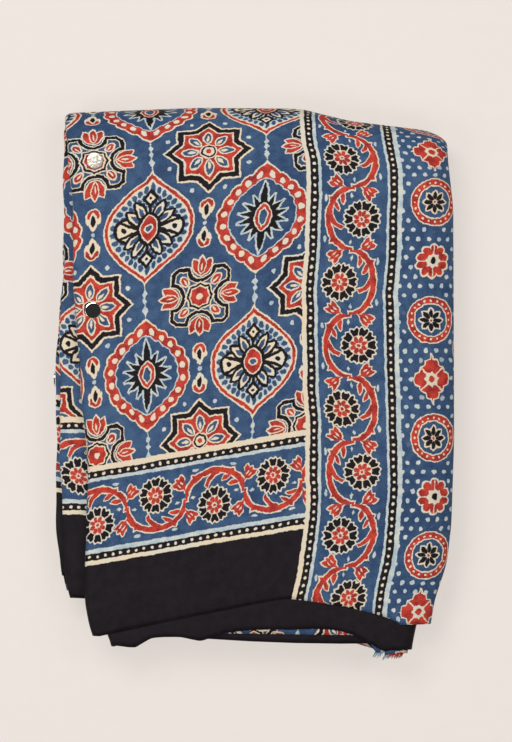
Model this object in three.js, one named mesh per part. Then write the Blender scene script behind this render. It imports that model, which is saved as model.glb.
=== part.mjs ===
// A long block-printed cloth, folded into a pile: the length is halved four times into sixteen panels,
// and the panels are then folded together over the far edge. Round mirrors are sewn to its front.
// Millimetres, +Z up. The pile lies on Z = 0, with the last fold towards +Y and the hems towards -Y.
import * as THREE from "three";

// Sheet and stack.
const SHEET = 1.25;
const PITCH = 1.7;
const INNER_TURN = 1.0;
const HALVINGS = 4;
const PANELS = 2 ** HALVINGS;
const OUTER_TURN = INNER_TURN + (PANELS - 1) * PITCH;
const MID_HEIGHT = OUTER_TURN + SHEET / 2;
const PILE_HEIGHT = 2 * MID_HEIGHT;

// Folds along the sides are wider than they are high.
const RIGHT_FOLD_STRETCH = 2.6;
const LEFT_FOLD_STRETCH = 1.3;

// The folds on the right are pressed thinner towards their tips.
const RIGHT_THINNING = 0.14;
const RIGHT_THINNING_FROM = 178;
const RIGHT_THINNING_TO = 214;

// Mirrors.
const MIRROR_DIAMETER = 17;
const MIRROR_THICKNESS = 1.2;
const MIRROR_BEVEL = 0.4;
const MIRROR_GAP = 0.4;
const MIRROR_SIDES = 28;
const MIRROR_UPPER = { x: -168, y: 231 };
const MIRROR_LOWER = { x: -170, y: 74 };
const MIRROR_SIDE = { y: 2, z: 29 };

// Highest line of the last fold.            across, height up the pile
const TOP_EDGE = [
  { at: -210, edge: 284 },
  { at: -60, edge: 290 },
  { at: 48, edge: 289 },
  { at: 100, edge: 276 },
  { at: 215, edge: 262 },
];

// Outer right side of the pile, and the same side of the panels inside the outermost fold.
const RIGHT_EDGE = [
  { at: 262, edge: 204, inner: 204 },
  { at: 208, edge: 210, inner: 208 },
  { at: -50, edge: 211, inner: 208 },
  { at: -146, edge: 208, inner: 202 },
  { at: -190, edge: 203, inner: 195 },
  { at: -230, edge: 190, inner: 183 },
  { at: -256, edge: 186, inner: 175 },
  { at: -283, edge: 182, inner: 170 },
];

// Left side of the upper leaf: the outermost fold of the top eight panels and the folds inside it, the four
// panels below them, and the last four.
const LEFT_EDGE = [
  { at: 285, eight: -200, six: -200, four: -203, last: -202 },
  { at: 190, eight: -193, six: -193, four: -202, last: -201 },
  { at: 117, eight: -191, six: -191, four: -203, last: -204 },
  { at: 64, eight: -189, six: -189, four: -206, last: -209 },
  { at: 0, eight: -184, six: -184, four: -207, last: -211 },
  { at: -72, eight: -177, six: -177, four: -206, last: -211 },
  { at: -167, eight: -178, six: -177, four: -203, last: -210 },
  { at: -198, eight: -178, six: -176, four: -201, last: -207 },
  { at: -229, eight: -181, six: -171, four: -196, last: -200 },
  { at: -262, eight: -174, six: -160, four: -184, last: -186 },
  { at: -283, eight: -167, six: -153, four: -174, last: -176 },
];

// Left side of the lower leaf.
const LOWER_LEFT_EDGE = [
  { at: 285, edge: -203 },
  { at: 100, edge: -205 },
  { at: -150, edge: -206 },
  { at: -200, edge: -202 },
  { at: -229, edge: -194 },
  { at: -275, edge: -153 },
];

// Hems, a row for each panel along the cloth: where the hem starts on that panel's first side in the upper
// leaf and in the lower leaf, how far it bows up the pile, where along the panel the bow is highest, and how
// round it is there: 1 is a peak and 2 an arch.
const HEMS = [
  { upper: -222, lower: -224, bow: 6, peak: 0.5, round: 2 },
  { upper: -256, lower: -250, bow: 32, peak: 0.38, round: 1.15 },
  { upper: -268, lower: -226, bow: 4, peak: 0.5, round: 2 },
  { upper: -262, lower: -270, bow: 5, peak: 0.5, round: 2 },
  { upper: -229, lower: -225, bow: 3, peak: 0.5, round: 2 },
  { upper: -265, lower: -268, bow: 8, peak: 0.5, round: 2 },
  { upper: -262, lower: -228, bow: -5, peak: 0.5, round: 2 },
  { upper: -276, lower: -271, bow: 3, peak: 0.5, round: 2 },
  { upper: -206, lower: -222, bow: 4, peak: 0.5, round: 2 },
  { upper: -287, lower: -269, bow: 16, peak: 0.1, round: 2 },
  { upper: -264, lower: -227, bow: 4, peak: 0.5, round: 2 },
  { upper: -266, lower: -272, bow: 6, peak: 0.5, round: 2 },
  { upper: -224, lower: -221, bow: 5, peak: 0.5, round: 2 },
  { upper: -268, lower: -267, bow: 9, peak: 0.85, round: 2 },
  { upper: -279, lower: -229, bow: 21, peak: 0.7, round: 2 },
  { upper: -283, lower: -270, bow: 6, peak: 0.5, round: 2 },
  { upper: -215, lower: -225, bow: 0, peak: 0.5, round: 2 },
];
const LOWER_HEM = { bow: -22, peak: 0.5, round: 2 };

// Divisions of the mesh: across each flat panel, round each fold, and up the two leaves and the last fold.
const FLAT_LEFT = -195;
const FLAT_WIDTH = 373;
const FLAT_STEPS = [0, 0.362, 0.651, 0.791, 1];
const FRONT_STEPS = [0, 0.16, 0.362, 0.5, 0.651, 0.791, 0.9, 1];
const LOWER_STEPS = [1, 0.86, 0.5, 0];
const UPPER_STEPS = [0, 0.1, 0.21, 0.33, 0.46, 0.59, 0.72, 0.82, 0.91, 1];
const LAST_FOLD_STEPS = 7;

function smoothstep(from, to, value) {
  const share = Math.min(Math.max((value - from) / (to - from), 0), 1);
  return share * share * (3 - 2 * share);
}

// Value of a column of a table at a place, straight between the rows.
function lookUp(table, column, place) {
  const rising = table[1].at > table[0].at;
  const rows = rising ? table : [...table].reverse();
  if (place <= rows[0].at) {
    return rows[0][column];
  }
  for (let i = 1; i < rows.length; i += 1) {
    if (place <= rows[i].at) {
      const share = (place - rows[i - 1].at) / (rows[i].at - rows[i - 1].at);
      return rows[i - 1][column] + share * (rows[i][column] - rows[i - 1][column]);
    }
  }
  return rows[rows.length - 1][column];
}

// Place of each panel in the stack, counted from the top, after folding right over left time and again.
function stackPlaces(halvings) {
  let columns = Array.from({ length: 2 ** halvings }, (_, panel) => [panel]);
  while (columns.length > 1) {
    const last = columns.length - 1;
    const half = columns.slice(0, columns.length / 2);
    const folded = columns;
    columns = half.map((column, i) => [...folded[last - i]].reverse().concat(column));
  }
  const places = [];
  columns[0].forEach((panel, place) => {
    places[panel] = place;
  });
  return places;
}

// Stations along the cloth: a run of flat stations for each panel and an arc of them for each fold.
function stationsAlongCloth() {
  const places = stackPlaces(HALVINGS);
  const stations = [];
  for (let panel = 0; panel < PANELS; panel += 1) {
    const rightward = panel % 2 === 0;
    const across = places[panel] === 0 ? FRONT_STEPS : FLAT_STEPS;
    const steps = rightward ? across : across.map((step) => 1 - step).reverse();
    for (const step of steps) {
      stations.push({ fold: false, panel, place: places[panel], share: step, rightward, along: panel + step });
    }
    if (panel === PANELS - 1) {
      break;
    }
    const from = places[panel];
    const to = places[panel + 1];
    const radius = (Math.abs(from - to) * PITCH) / 2;
    const divisions = radius > 8 ? 7 : radius > 4 ? 5 : radius > 2 ? 4 : rightward ? 2 : 3;
    for (let i = 1; i < divisions; i += 1) {
      const turn = (Math.PI * i) / divisions;
      stations.push({ fold: true, from, to, radius, turn, right: rightward, along: panel + 1 });
    }
  }
  return stations;
}

// Outer radius of the bundle of folds that a place belongs to on the left, and the table column of its edge.
function leftBundle(place) {
  if (place < 8) {
    const outermost = place === 0 || place === 7;
    return { column: outermost ? "eight" : "six", radius: 3.5 * PITCH };
  }
  if (place < 12) {
    return { column: "four", radius: 1.5 * PITCH };
  }
  return { column: "last", radius: 0.5 * PITCH };
}

// Centre line of the left folds of a place, at a height up the pile, in the leaf named by the upper share.
function leftCentre(place, height, upperShare) {
  const bundle = leftBundle(place);
  const upper = lookUp(LEFT_EDGE, bundle.column, height);
  const lower = lookUp(LOWER_LEFT_EDGE, "edge", height) + 0.4 * place;
  return lower + upperShare * (upper - lower) + LEFT_FOLD_STRETCH * bundle.radius + SHEET / 2;
}

// Centre line of the right folds. Panels inside the outermost fold stand back from it near the hems.
function rightCentre(place, height) {
  const outermost = place === 0 || place === PANELS - 1;
  const edge = lookUp(RIGHT_EDGE, outermost ? "edge" : "inner", height);
  return edge - RIGHT_FOLD_STRETCH * ((PANELS - 1) / 2) * PITCH - SHEET / 2;
}

// Place across the pile of a station on a flat panel. A panel's sides follow the folds, and its other stations
// stand in line through the whole stack.
function flatAcross(station, height, upperShare) {
  const share = station.rightward ? station.share : 1 - station.share;
  if (share === 0) {
    return leftCentre(station.place, height, upperShare);
  }
  if (share === 1) {
    return rightCentre(station.place, height);
  }
  return FLAT_LEFT + share * FLAT_WIDTH;
}

// Point and unit normal of the sheet's middle in the section: across the pile, and depth from the top place.
function sectionPoint(station, height, upperShare) {
  if (!station.fold) {
    const x = flatAcross(station, height, upperShare);
    return { x, depth: station.place * PITCH, nx: 0, nd: station.rightward ? 1 : -1 };
  }
  const outer = Math.min(station.from, station.to);
  const centre = station.right ? rightCentre(outer, height) : leftCentre(outer, height, upperShare);
  const stretch = station.right ? RIGHT_FOLD_STRETCH : -LEFT_FOLD_STRETCH;
  const middle = ((station.from + station.to) * PITCH) / 2;
  const down = station.to > station.from ? 1 : -1;
  const x = centre + stretch * station.radius * Math.sin(station.turn);
  const depth = middle - down * station.radius * Math.cos(station.turn);
  const tx = stretch * Math.cos(station.turn);
  const td = down * Math.sin(station.turn);
  const length = Math.hypot(tx, td);
  return { x, depth, nx: -td / length, nd: tx / length };
}

// Height of the hem at a station: straight between the panel's two sides, and bowed between them.
function hemHeight(station, leaf) {
  if (station.fold) {
    return HEMS[station.along][leaf];
  }
  const first = HEMS[station.panel][leaf];
  const second = HEMS[station.panel + 1][leaf];
  const { bow, peak, round } = leaf === "upper" ? HEMS[station.panel] : LOWER_HEM;
  const share = station.share;
  const bent = share ** (Math.log(0.5) / Math.log(peak));
  return first + share * (second - first) + bow * (1 - Math.abs(2 * bent - 1) ** round);
}

// Local height of the pile, as a share of its full height.
function pileShare(x) {
  return 1 - RIGHT_THINNING * smoothstep(RIGHT_THINNING_FROM, RIGHT_THINNING_TO, x);
}

// Line on which the last fold begins to turn, at a place across the pile.
function turnLine(x) {
  return lookUp(TOP_EDGE, "edge", x) - MID_HEIGHT;
}

// Rows up the cloth from the lower hem, round the last fold, to the upper hem.
function rowsUpCloth() {
  const rows = LOWER_STEPS.map((share) => ({ leaf: "lower", share, turn: 0 }));
  for (let i = 1; i < LAST_FOLD_STEPS; i += 1) {
    rows.push({ leaf: "turn", share: 0, turn: (Math.PI * i) / LAST_FOLD_STEPS });
  }
  return rows.concat(UPPER_STEPS.map((share) => ({ leaf: "upper", share, turn: Math.PI })));
}

// Point on one face of the sheet.
function clothPoint(station, row, side) {
  const upperShare = (1 - Math.cos(row.turn)) / 2;
  const leaf = row.leaf === "lower" ? "lower" : "upper";
  const hem = hemHeight(station, leaf);
  const start = turnLine(0);
  const height = row.leaf === "turn" ? start + OUTER_TURN * Math.sin(row.turn) : start + row.share * (hem - start);
  const middle = sectionPoint(station, height, upperShare);
  const x = middle.x + (side * SHEET * middle.nx) / 2;
  const radius = OUTER_TURN - middle.depth - (side * SHEET * middle.nd) / 2;
  const line = turnLine(x);
  const y = row.leaf === "turn" ? line + radius * Math.sin(row.turn) : line + row.share * (hem - line);
  const z = MID_HEIGHT - radius * Math.cos(row.turn);
  return new THREE.Vector3(x, y, z * pileShare(x));
}

// Closed mesh of a sheet given by its two faces, with a rim along all four of its sides.
function sheetGeometry(stations, rows) {
  const positions = [];
  const index = [];
  const across = stations.length;
  const up = rows.length;
  for (const side of [1, -1]) {
    for (const station of stations) {
      for (const row of rows) {
        positions.push(...clothPoint(station, row, side).toArray());
      }
    }
  }
  const vertex = (face, i, j) => (face * across + i) * up + j;
  const quad = (a, b, c, d) => index.push(a, b, c, a, c, d);
  for (let i = 0; i + 1 < across; i += 1) {
    for (let j = 0; j + 1 < up; j += 1) {
      quad(vertex(0, i, j), vertex(0, i + 1, j), vertex(0, i + 1, j + 1), vertex(0, i, j + 1));
      quad(vertex(1, i, j), vertex(1, i, j + 1), vertex(1, i + 1, j + 1), vertex(1, i + 1, j));
    }
    quad(vertex(0, i, 0), vertex(1, i, 0), vertex(1, i + 1, 0), vertex(0, i + 1, 0));
    quad(vertex(0, i, up - 1), vertex(0, i + 1, up - 1), vertex(1, i + 1, up - 1), vertex(1, i, up - 1));
  }
  for (let j = 0; j + 1 < up; j += 1) {
    quad(vertex(0, 0, j), vertex(0, 0, j + 1), vertex(1, 0, j + 1), vertex(1, 0, j));
    const end = across - 1;
    quad(vertex(0, end, j), vertex(1, end, j), vertex(1, end, j + 1), vertex(0, end, j + 1));
  }
  const geometry = new THREE.BufferGeometry();
  geometry.setAttribute("position", new THREE.Float32BufferAttribute(positions, 3));
  geometry.setIndex(index);
  geometry.computeVertexNormals();
  return geometry;
}

// Bevelled disc, lying on Z = 0.
function mirrorGeometry() {
  const radius = MIRROR_DIAMETER / 2;
  const profile = [
    new THREE.Vector2(0, 0),
    new THREE.Vector2(radius, 0),
    new THREE.Vector2(radius, MIRROR_THICKNESS - MIRROR_BEVEL),
    new THREE.Vector2(radius - MIRROR_BEVEL, MIRROR_THICKNESS),
    new THREE.Vector2(0, MIRROR_THICKNESS),
  ];
  return new THREE.LatheGeometry(profile, MIRROR_SIDES).rotateX(Math.PI / 2);
}

// Mirror lying on the top of the pile.
function mirrorOnTop(spot) {
  return mirrorGeometry().translate(spot.x, spot.y, PILE_HEIGHT + MIRROR_GAP);
}

// Mirror standing against the folds on the left side.
function mirrorOnSide(spot) {
  const face = Math.min(lookUp(LEFT_EDGE, "last", spot.y), lookUp(LEFT_EDGE, "four", spot.y));
  const turned = mirrorGeometry().rotateY(-Math.PI / 2);
  return turned.translate(face - MIRROR_GAP, spot.y, spot.z);
}

function named(name, geometry, material) {
  const mesh = new THREE.Mesh(geometry, material);
  mesh.name = name;
  return mesh;
}

function clothMaterial() {
  return new THREE.MeshStandardMaterial({ color: 0x27406f, roughness: 0.75, metalness: 0 });
}

function mirrorMaterial() {
  return new THREE.MeshStandardMaterial({ color: 0xd6d8d4, roughness: 0.1, metalness: 1 });
}

// The pile is moved so that the middle of its box stands on the origin.
function build() {
  const solids = [
    named("cloth", sheetGeometry(stationsAlongCloth(), rowsUpCloth()), clothMaterial()),
    named("mirror_upper", mirrorOnTop(MIRROR_UPPER), mirrorMaterial()),
    named("mirror_lower", mirrorOnTop(MIRROR_LOWER), mirrorMaterial()),
    named("mirror_side", mirrorOnSide(MIRROR_SIDE), mirrorMaterial()),
  ];
  const group = new THREE.Group();
  group.add(...solids);
  const box = new THREE.Box3().setFromObject(group);
  const middle = box.getCenter(new THREE.Vector3());
  for (const solid of solids) {
    solid.geometry.translate(-middle.x, -middle.y, 0);
  }
  return group;
}

export default build();
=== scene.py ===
"""Folded block-printed cloth with sewn mirrors, lying on a pale floor and seen from above."""

import logging
import math
from dataclasses import dataclass
from enum import Enum, auto
from functools import reduce
from typing import Sequence

import bpy
import numpy as np
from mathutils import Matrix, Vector


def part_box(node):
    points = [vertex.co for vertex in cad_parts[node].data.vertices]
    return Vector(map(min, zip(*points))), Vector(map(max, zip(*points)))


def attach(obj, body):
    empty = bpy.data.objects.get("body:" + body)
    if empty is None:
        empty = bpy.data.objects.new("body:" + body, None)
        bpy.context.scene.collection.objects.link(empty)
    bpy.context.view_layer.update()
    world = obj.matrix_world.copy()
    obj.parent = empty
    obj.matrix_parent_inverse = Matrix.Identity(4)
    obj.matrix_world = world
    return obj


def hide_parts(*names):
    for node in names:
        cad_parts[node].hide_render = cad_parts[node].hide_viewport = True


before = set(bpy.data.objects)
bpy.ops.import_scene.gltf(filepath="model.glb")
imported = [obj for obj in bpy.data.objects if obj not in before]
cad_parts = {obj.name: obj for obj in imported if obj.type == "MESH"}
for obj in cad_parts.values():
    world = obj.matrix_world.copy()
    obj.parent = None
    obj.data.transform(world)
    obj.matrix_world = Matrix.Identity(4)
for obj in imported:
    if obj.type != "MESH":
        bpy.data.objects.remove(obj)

logging.basicConfig(level=logging.INFO, format="%(message)s")
LOG = logging.getLogger("cloth")
MM = 0.001
TURN = 2.0 * math.pi
# Cosine of an eighth of a turn, and the widths in millimetres of a print's soft edge and of a sharp step
DIAGONAL = 0.7071
SOFT = 0.5
SHARP = 0.01
Number = float | int
Pair = tuple[float, float]
Triple = tuple[float, float, float]


class Ink:
    """A number that a shader works out at each point of the cloth.

    Wraps one node socket, so that formulas read as plain arithmetic.
    """

    def __init__(self, well: "Inkwell", socket: bpy.types.NodeSocket) -> None:
        """Wraps a socket.

        Args:
            well: The inkwell whose node tree holds the socket.
            socket: The socket that carries the number.
        """
        self.well = well
        self.socket = socket

    def math(self, operation: str, *others: "Ink | Number") -> "Ink":
        """Adds one math node fed by this number and others.

        Args:
            operation: Name of the math operation.
            *others: Further inputs, sockets or plain numbers.

        Returns:
            The node's result.
        """
        inputs = {0: self, **dict(enumerate(others, 1))}
        node = self.well.node("ShaderNodeMath", {"operation": operation}, inputs)
        return Ink(self.well, node.outputs[0])

    def __add__(self, other: "Ink | Number") -> "Ink":
        """Sum."""
        return self.math("ADD", other)

    __radd__ = __add__

    def __sub__(self, other: "Ink | Number") -> "Ink":
        """Difference."""
        return self.math("SUBTRACT", other)

    def __rsub__(self, other: Number) -> "Ink":
        """Difference from a plain number."""
        return self.well.number(other).math("SUBTRACT", self)

    def __mul__(self, other: "Ink | Number") -> "Ink":
        """Product."""
        return self.math("MULTIPLY", other)

    __rmul__ = __mul__

    def __truediv__(self, other: "Ink | Number") -> "Ink":
        """Quotient."""
        return self.math("DIVIDE", other)

    def __rtruediv__(self, other: Number) -> "Ink":
        """Quotient of a plain number."""
        return self.well.number(other).math("DIVIDE", self)

    def __mod__(self, other: Number) -> "Ink":
        """Remainder, never negative."""
        return self.math("FLOORED_MODULO", other)

    def __neg__(self) -> "Ink":
        """Opposite."""
        return self.math("MULTIPLY", -1.0)

    def __abs__(self) -> "Ink":
        """Size without sign."""
        return self.math("ABSOLUTE")

    def sin(self) -> "Ink":
        """Sine of an angle in radians."""
        return self.math("SINE")

    def cos(self) -> "Ink":
        """Cosine of an angle in radians."""
        return self.math("COSINE")

    def sqrt(self) -> "Ink":
        """Square root."""
        return self.math("SQRT")

    def floor(self) -> "Ink":
        """Whole number at or below."""
        return self.math("FLOOR")

    def round(self) -> "Ink":
        """Nearest whole number."""
        return (self + 0.5).floor()

    def within(self, low: Number, high: Number) -> "Ink":
        """The number, held between two others."""
        return most(least(self, high), low)

    def below(self, edge: Number, soft: Number) -> "Ink":
        """One below an edge and nought above it, with a soft step between.

        Args:
            edge: Middle of the step.
            soft: Width of the step.

        Returns:
            The step, from 0 to 1.
        """
        inputs = {0: self, 1: edge + soft / 2, 2: edge - soft / 2, 3: 0.0, 4: 1.0}
        node = self.well.node("ShaderNodeMapRange", {"clamp": True}, inputs)
        return Ink(self.well, node.outputs[0])


def least(first: Ink, *others: Ink | Number) -> Ink:
    """Smallest of several numbers, the first of which the shader works out."""
    return reduce(lambda one, other: one.math("MINIMUM", other), others, first)


def most(first: Ink, *others: Ink | Number) -> Ink:
    """Largest of several numbers, the first of which the shader works out."""
    return reduce(lambda one, other: one.math("MAXIMUM", other), others, first)


def length(x: Ink, y: Ink) -> Ink:
    """Distance from the origin: the root of the sum of the squares of both coordinates."""
    return (x * x + y * y).sqrt()


def bearing(y: Ink, x: Ink) -> Ink:
    """Angle about the origin, in radians from the axis of the second coordinate given."""
    return y.math("ARCTAN2", x)


class Hue:
    """A colour that a shader works out at each point of the cloth."""

    def __init__(self, well: "Inkwell", socket: bpy.types.NodeSocket) -> None:
        """Wraps a colour socket.

        Args:
            well: The inkwell whose node tree holds the socket.
            socket: The socket that carries the colour.
        """
        self.well = well
        self.socket = socket

    def over(self, mask: Ink, tint: "Hue | Sequence[float]") -> "Hue":
        """Lays another colour over this one.

        Args:
            mask: How much of the other colour shows, from 0 to 1.
            tint: The other colour.

        Returns:
            The mixed colour.
        """
        node = self.well.node("ShaderNodeMix", {"data_type": "RGBA"}, {0: mask, 6: self, 7: tint})
        return Hue(self.well, node.outputs[2])


class Inkwell:
    """A material's node tree and the one way that nodes are added to it."""

    noise_roughness: float = 0.55

    def __init__(self, name: str) -> None:
        """Starts an empty material.

        Args:
            name: Name of the material.
        """
        self.material = bpy.data.materials.new(name)
        self.material.use_nodes = True
        self.tree = self.material.node_tree
        self.tree.nodes.clear()

    def node(self, kind: str, settings: dict | None = None, inputs: dict | None = None) -> bpy.types.Node:
        """Adds one node.

        Args:
            kind: Type of the node.
            settings: Properties to set on it.
            inputs: Values or links for its inputs, by number or name.

        Returns:
            The node.
        """
        made = self.tree.nodes.new(kind)
        for key, value in (settings or {}).items():
            setattr(made, key, value)
        for key, value in (inputs or {}).items():
            if isinstance(value, (Ink, Hue)):
                self.tree.links.new(value.socket, made.inputs[key])
            elif isinstance(value, bpy.types.NodeSocket):
                self.tree.links.new(value, made.inputs[key])
            elif isinstance(value, (tuple, list)) and made.inputs[key].type == "RGBA":
                made.inputs[key].default_value = (*value[:3], 1.0)
            else:
                made.inputs[key].default_value = value
        return made

    def number(self, value: Number) -> Ink:
        """A plain number as a socket.

        Args:
            value: The number.

        Returns:
            It, wrapped.
        """
        node = self.node("ShaderNodeValue")
        node.outputs[0].default_value = value
        return Ink(self, node.outputs[0])

    def hue(self, colour: Sequence[float]) -> Hue:
        """A plain colour as a socket.

        Args:
            colour: Red, green and blue, linear.

        Returns:
            It, wrapped.
        """
        node = self.node("ShaderNodeRGB")
        node.outputs[0].default_value = (*colour[:3], 1.0)
        return Hue(self, node.outputs[0])

    def chart(self, name: str) -> tuple[Ink, Ink, bpy.types.NodeSocket]:
        """Reads a UV map, whose metres become millimetres.

        Args:
            name: Name of the map.

        Returns:
            Its two coordinates in millimetres, and the map's own socket.
        """
        place = self.node("ShaderNodeUVMap", {"uv_map": name}).outputs[0]
        parts = self.node("ShaderNodeSeparateXYZ", None, {0: place}).outputs
        return Ink(self, parts[0]) * (1.0 / MM), Ink(self, parts[1]) * (1.0 / MM), place

    def place(self) -> bpy.types.NodeSocket:
        """Socket of the piece's Object coordinates."""
        return self.node("ShaderNodeTexCoord").outputs["Object"]

    def noise(self, place: bpy.types.NodeSocket, scale: float, detail: float) -> tuple[Ink, Hue]:
        """Smooth noise over the cloth.

        Args:
            place: Socket of the coordinates.
            scale: Waves in a metre.
            detail: Octaves added on top.

        Returns:
            The noise as a number and as a colour.
        """
        inputs = {"Vector": place, "Scale": scale, "Detail": detail, "Roughness": self.noise_roughness}
        node = self.node("ShaderNodeTexNoise", {"noise_dimensions": "2D"}, inputs)
        return Ink(self, node.outputs["Fac"]), Hue(self, node.outputs["Color"])

    def grain(self, scale: float, detail: float) -> Ink:
        """Smooth noise through a piece, on its Object coordinates.

        Args:
            scale: Waves in a metre.
            detail: Octaves added on top.

        Returns:
            The noise as a number.
        """
        inputs = {"Vector": self.place(), "Scale": scale, "Detail": detail}
        return Ink(self, self.node("ShaderNodeTexNoise", None, inputs).outputs["Fac"])

    def bump(self, height: Ink, strength: float, distance: float) -> bpy.types.NodeSocket:
        """Turns a height into a normal.

        Args:
            height: The height, in shares of the distance.
            strength: How strongly it shows.
            distance: The distance in metres.

        Returns:
            Socket of the normal.
        """
        inputs = {"Strength": strength, "Distance": distance, "Height": height}
        return self.node("ShaderNodeBump", None, inputs).outputs[0]

    def dressed(self, sockets: dict) -> bpy.types.Material:
        """Closes the material with one shader.

        Args:
            sockets: Values or links of the shader's sockets, by name.

        Returns:
            The material.
        """
        shade = self.node("ShaderNodeBsdfPrincipled", None, sockets)
        self.node("ShaderNodeOutputMaterial", None, {0: shade.outputs[0]})
        return self.material


class Dye(Enum):
    """Colours that the blocks print. Cream and pale are cloth that was kept from the dyes."""

    BLUE = auto()
    CREAM = auto()
    PALE = auto()
    RED = auto()
    BLACK = auto()


BLUE, CREAM, PALE, RED, BLACK = Dye
Dyes = dict[Dye, Hue]
Rings = tuple[tuple[Dye, float], ...]
Figure = list["Stamp | Choice"]


@dataclass(frozen=True)
class Stamp:
    """One shape printed in one dye.

    The shape is the signed distance to its edge in millimetres, negative inside. It is grown by the
    edge, or shrunk where that is negative.
    """

    shape: Ink
    dye: Dye
    edge: float = 0.0

    def over(self, ground: Hue, dyes: Dyes) -> Hue:
        """The ground's colour with the shape on it."""
        return ground.over(self.shape.below(self.edge, SOFT), dyes[self.dye])


@dataclass(frozen=True)
class Choice:
    """Two figures, the first printed where a mask is 0 and the second where it is 1."""

    mask: Ink
    first: Figure
    second: Figure

    def over(self, ground: Hue, dyes: Dyes) -> Hue:
        """The ground's colour with the chosen figure on it."""
        return printed(ground, dyes, self.first).over(self.mask, printed(ground, dyes, self.second))


def printed(ground: Hue, dyes: Dyes, figure: Figure) -> Hue:
    """The ground's colour with a figure on it, its parts laid one over another in their order."""
    return reduce(lambda colour, part: part.over(colour, dyes), figure, ground)


def rings(shape: Ink, *prints: tuple[Dye, float]) -> Figure:
    """One shape printed several times, each time in its own dye and size, the outermost first."""
    return [Stamp(shape, dye, edge) for dye, edge in prints]


def repeat(x: Ink, period: float) -> tuple[Ink, Ink]:
    """Repeats a coordinate.

    Args:
        x: The coordinate.
        period: Length of one repeat.

    Returns:
        The coordinate from the middle of the nearest repeat, and that repeat's number.
    """
    count = (x / period).round()
    return x - count * period, count


def petals(x: Ink, y: Ink, count: int, turn: float = 0.0) -> tuple[Ink, Ink]:
    """Turns a point into the nearest of equal sectors round the origin.

    Args:
        x: First coordinate.
        y: Second coordinate.
        count: Number of sectors.
        turn: Angle of the first sector's middle.

    Returns:
        Distance out along the sector's middle, and across it.
    """
    step = TURN / count
    angle = bearing(y, x) - turn
    angle = angle - (angle / step).round() * step
    reach = length(x, y)
    return reach * angle.cos(), reach * angle.sin()


def oval(x: Ink, y: Ink, half_x: float, half_y: float) -> Ink:
    """Ellipse about the origin.

    Args:
        x: First coordinate.
        y: Second coordinate.
        half_x: Half its width.
        half_y: Half its height.

    Returns:
        About the signed distance to its edge.
    """
    return (length(x / half_x, y / half_y) - 1.0) * min(half_x, half_y)


def lens(x: Ink, y: Ink, half_x: float, half_y: float) -> Ink:
    """Pointed oval of two circle arcs about the origin.

    Args:
        x: Coordinate across it.
        y: Coordinate along it.
        half_x: Half its width.
        half_y: Half its height.

    Returns:
        The signed distance to its edge.
    """
    radius = (half_x * half_x + half_y * half_y) / (2.0 * half_x)
    return length(abs(x) + (radius - half_x), y) - radius


def lozenge(x: Ink, y: Ink, half_x: float, half_y: float) -> Ink:
    """Diamond about the origin.

    Args:
        x: First coordinate.
        y: Second coordinate.
        half_x: Half its width.
        half_y: Half its height.

    Returns:
        The signed distance to its sides.
    """
    scale = half_x * half_y / math.hypot(half_x, half_y)
    return (abs(x) / half_x + abs(y) / half_y - 1.0) * scale


def stroke(x: Ink, y: Ink, start: Pair, end: Pair) -> Ink:
    """Straight stroke between two points.

    Args:
        x: First coordinate.
        y: Second coordinate.
        start: One end.
        end: Other end.

    Returns:
        Distance to the nearest point of the stroke.
    """
    dx, dy = end[0] - start[0], end[1] - start[1]
    share = ((x - start[0]) * dx + (y - start[1]) * dy) / (dx * dx + dy * dy)
    share = share.within(0.0, 1.0)
    return length(x - start[0] - share * dx, y - start[1] - share * dy)


def eight_star(x: Ink, y: Ink) -> Ink:
    """Half the side of the two squares whose eight-pointed star passes through a point."""
    return least(most(abs(x), abs(y)), (abs(x) + abs(y)) * DIAGONAL)


def ogee(x: Ink, y: Ink, half_x: float, half_y: float) -> Ink:
    """Pointed medallion with drawn-out tips above and below.

    Its half width at a height is half_x (1 - t^2)(1 - t^4), t being the share of the way to the tip.

    Args:
        x: Coordinate across it.
        y: Coordinate along it.
        half_x: Half its width.
        half_y: Half its height.

    Returns:
        About the signed distance to its edge.
    """
    t = least(abs(y) / half_y, 1.0)
    t2 = t * t
    t4 = t2 * t2
    wide = (1.0 - t2) * (1.0 - t4) * half_x
    slope = (t * (1.0 - t4) + 2.0 * t * t2 * (1.0 - t2)) * (2.0 * half_x / half_y)
    return (abs(x) - wide) / (slope * slope + 1.0).sqrt() + most(abs(y) - half_y, 0.0)


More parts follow.
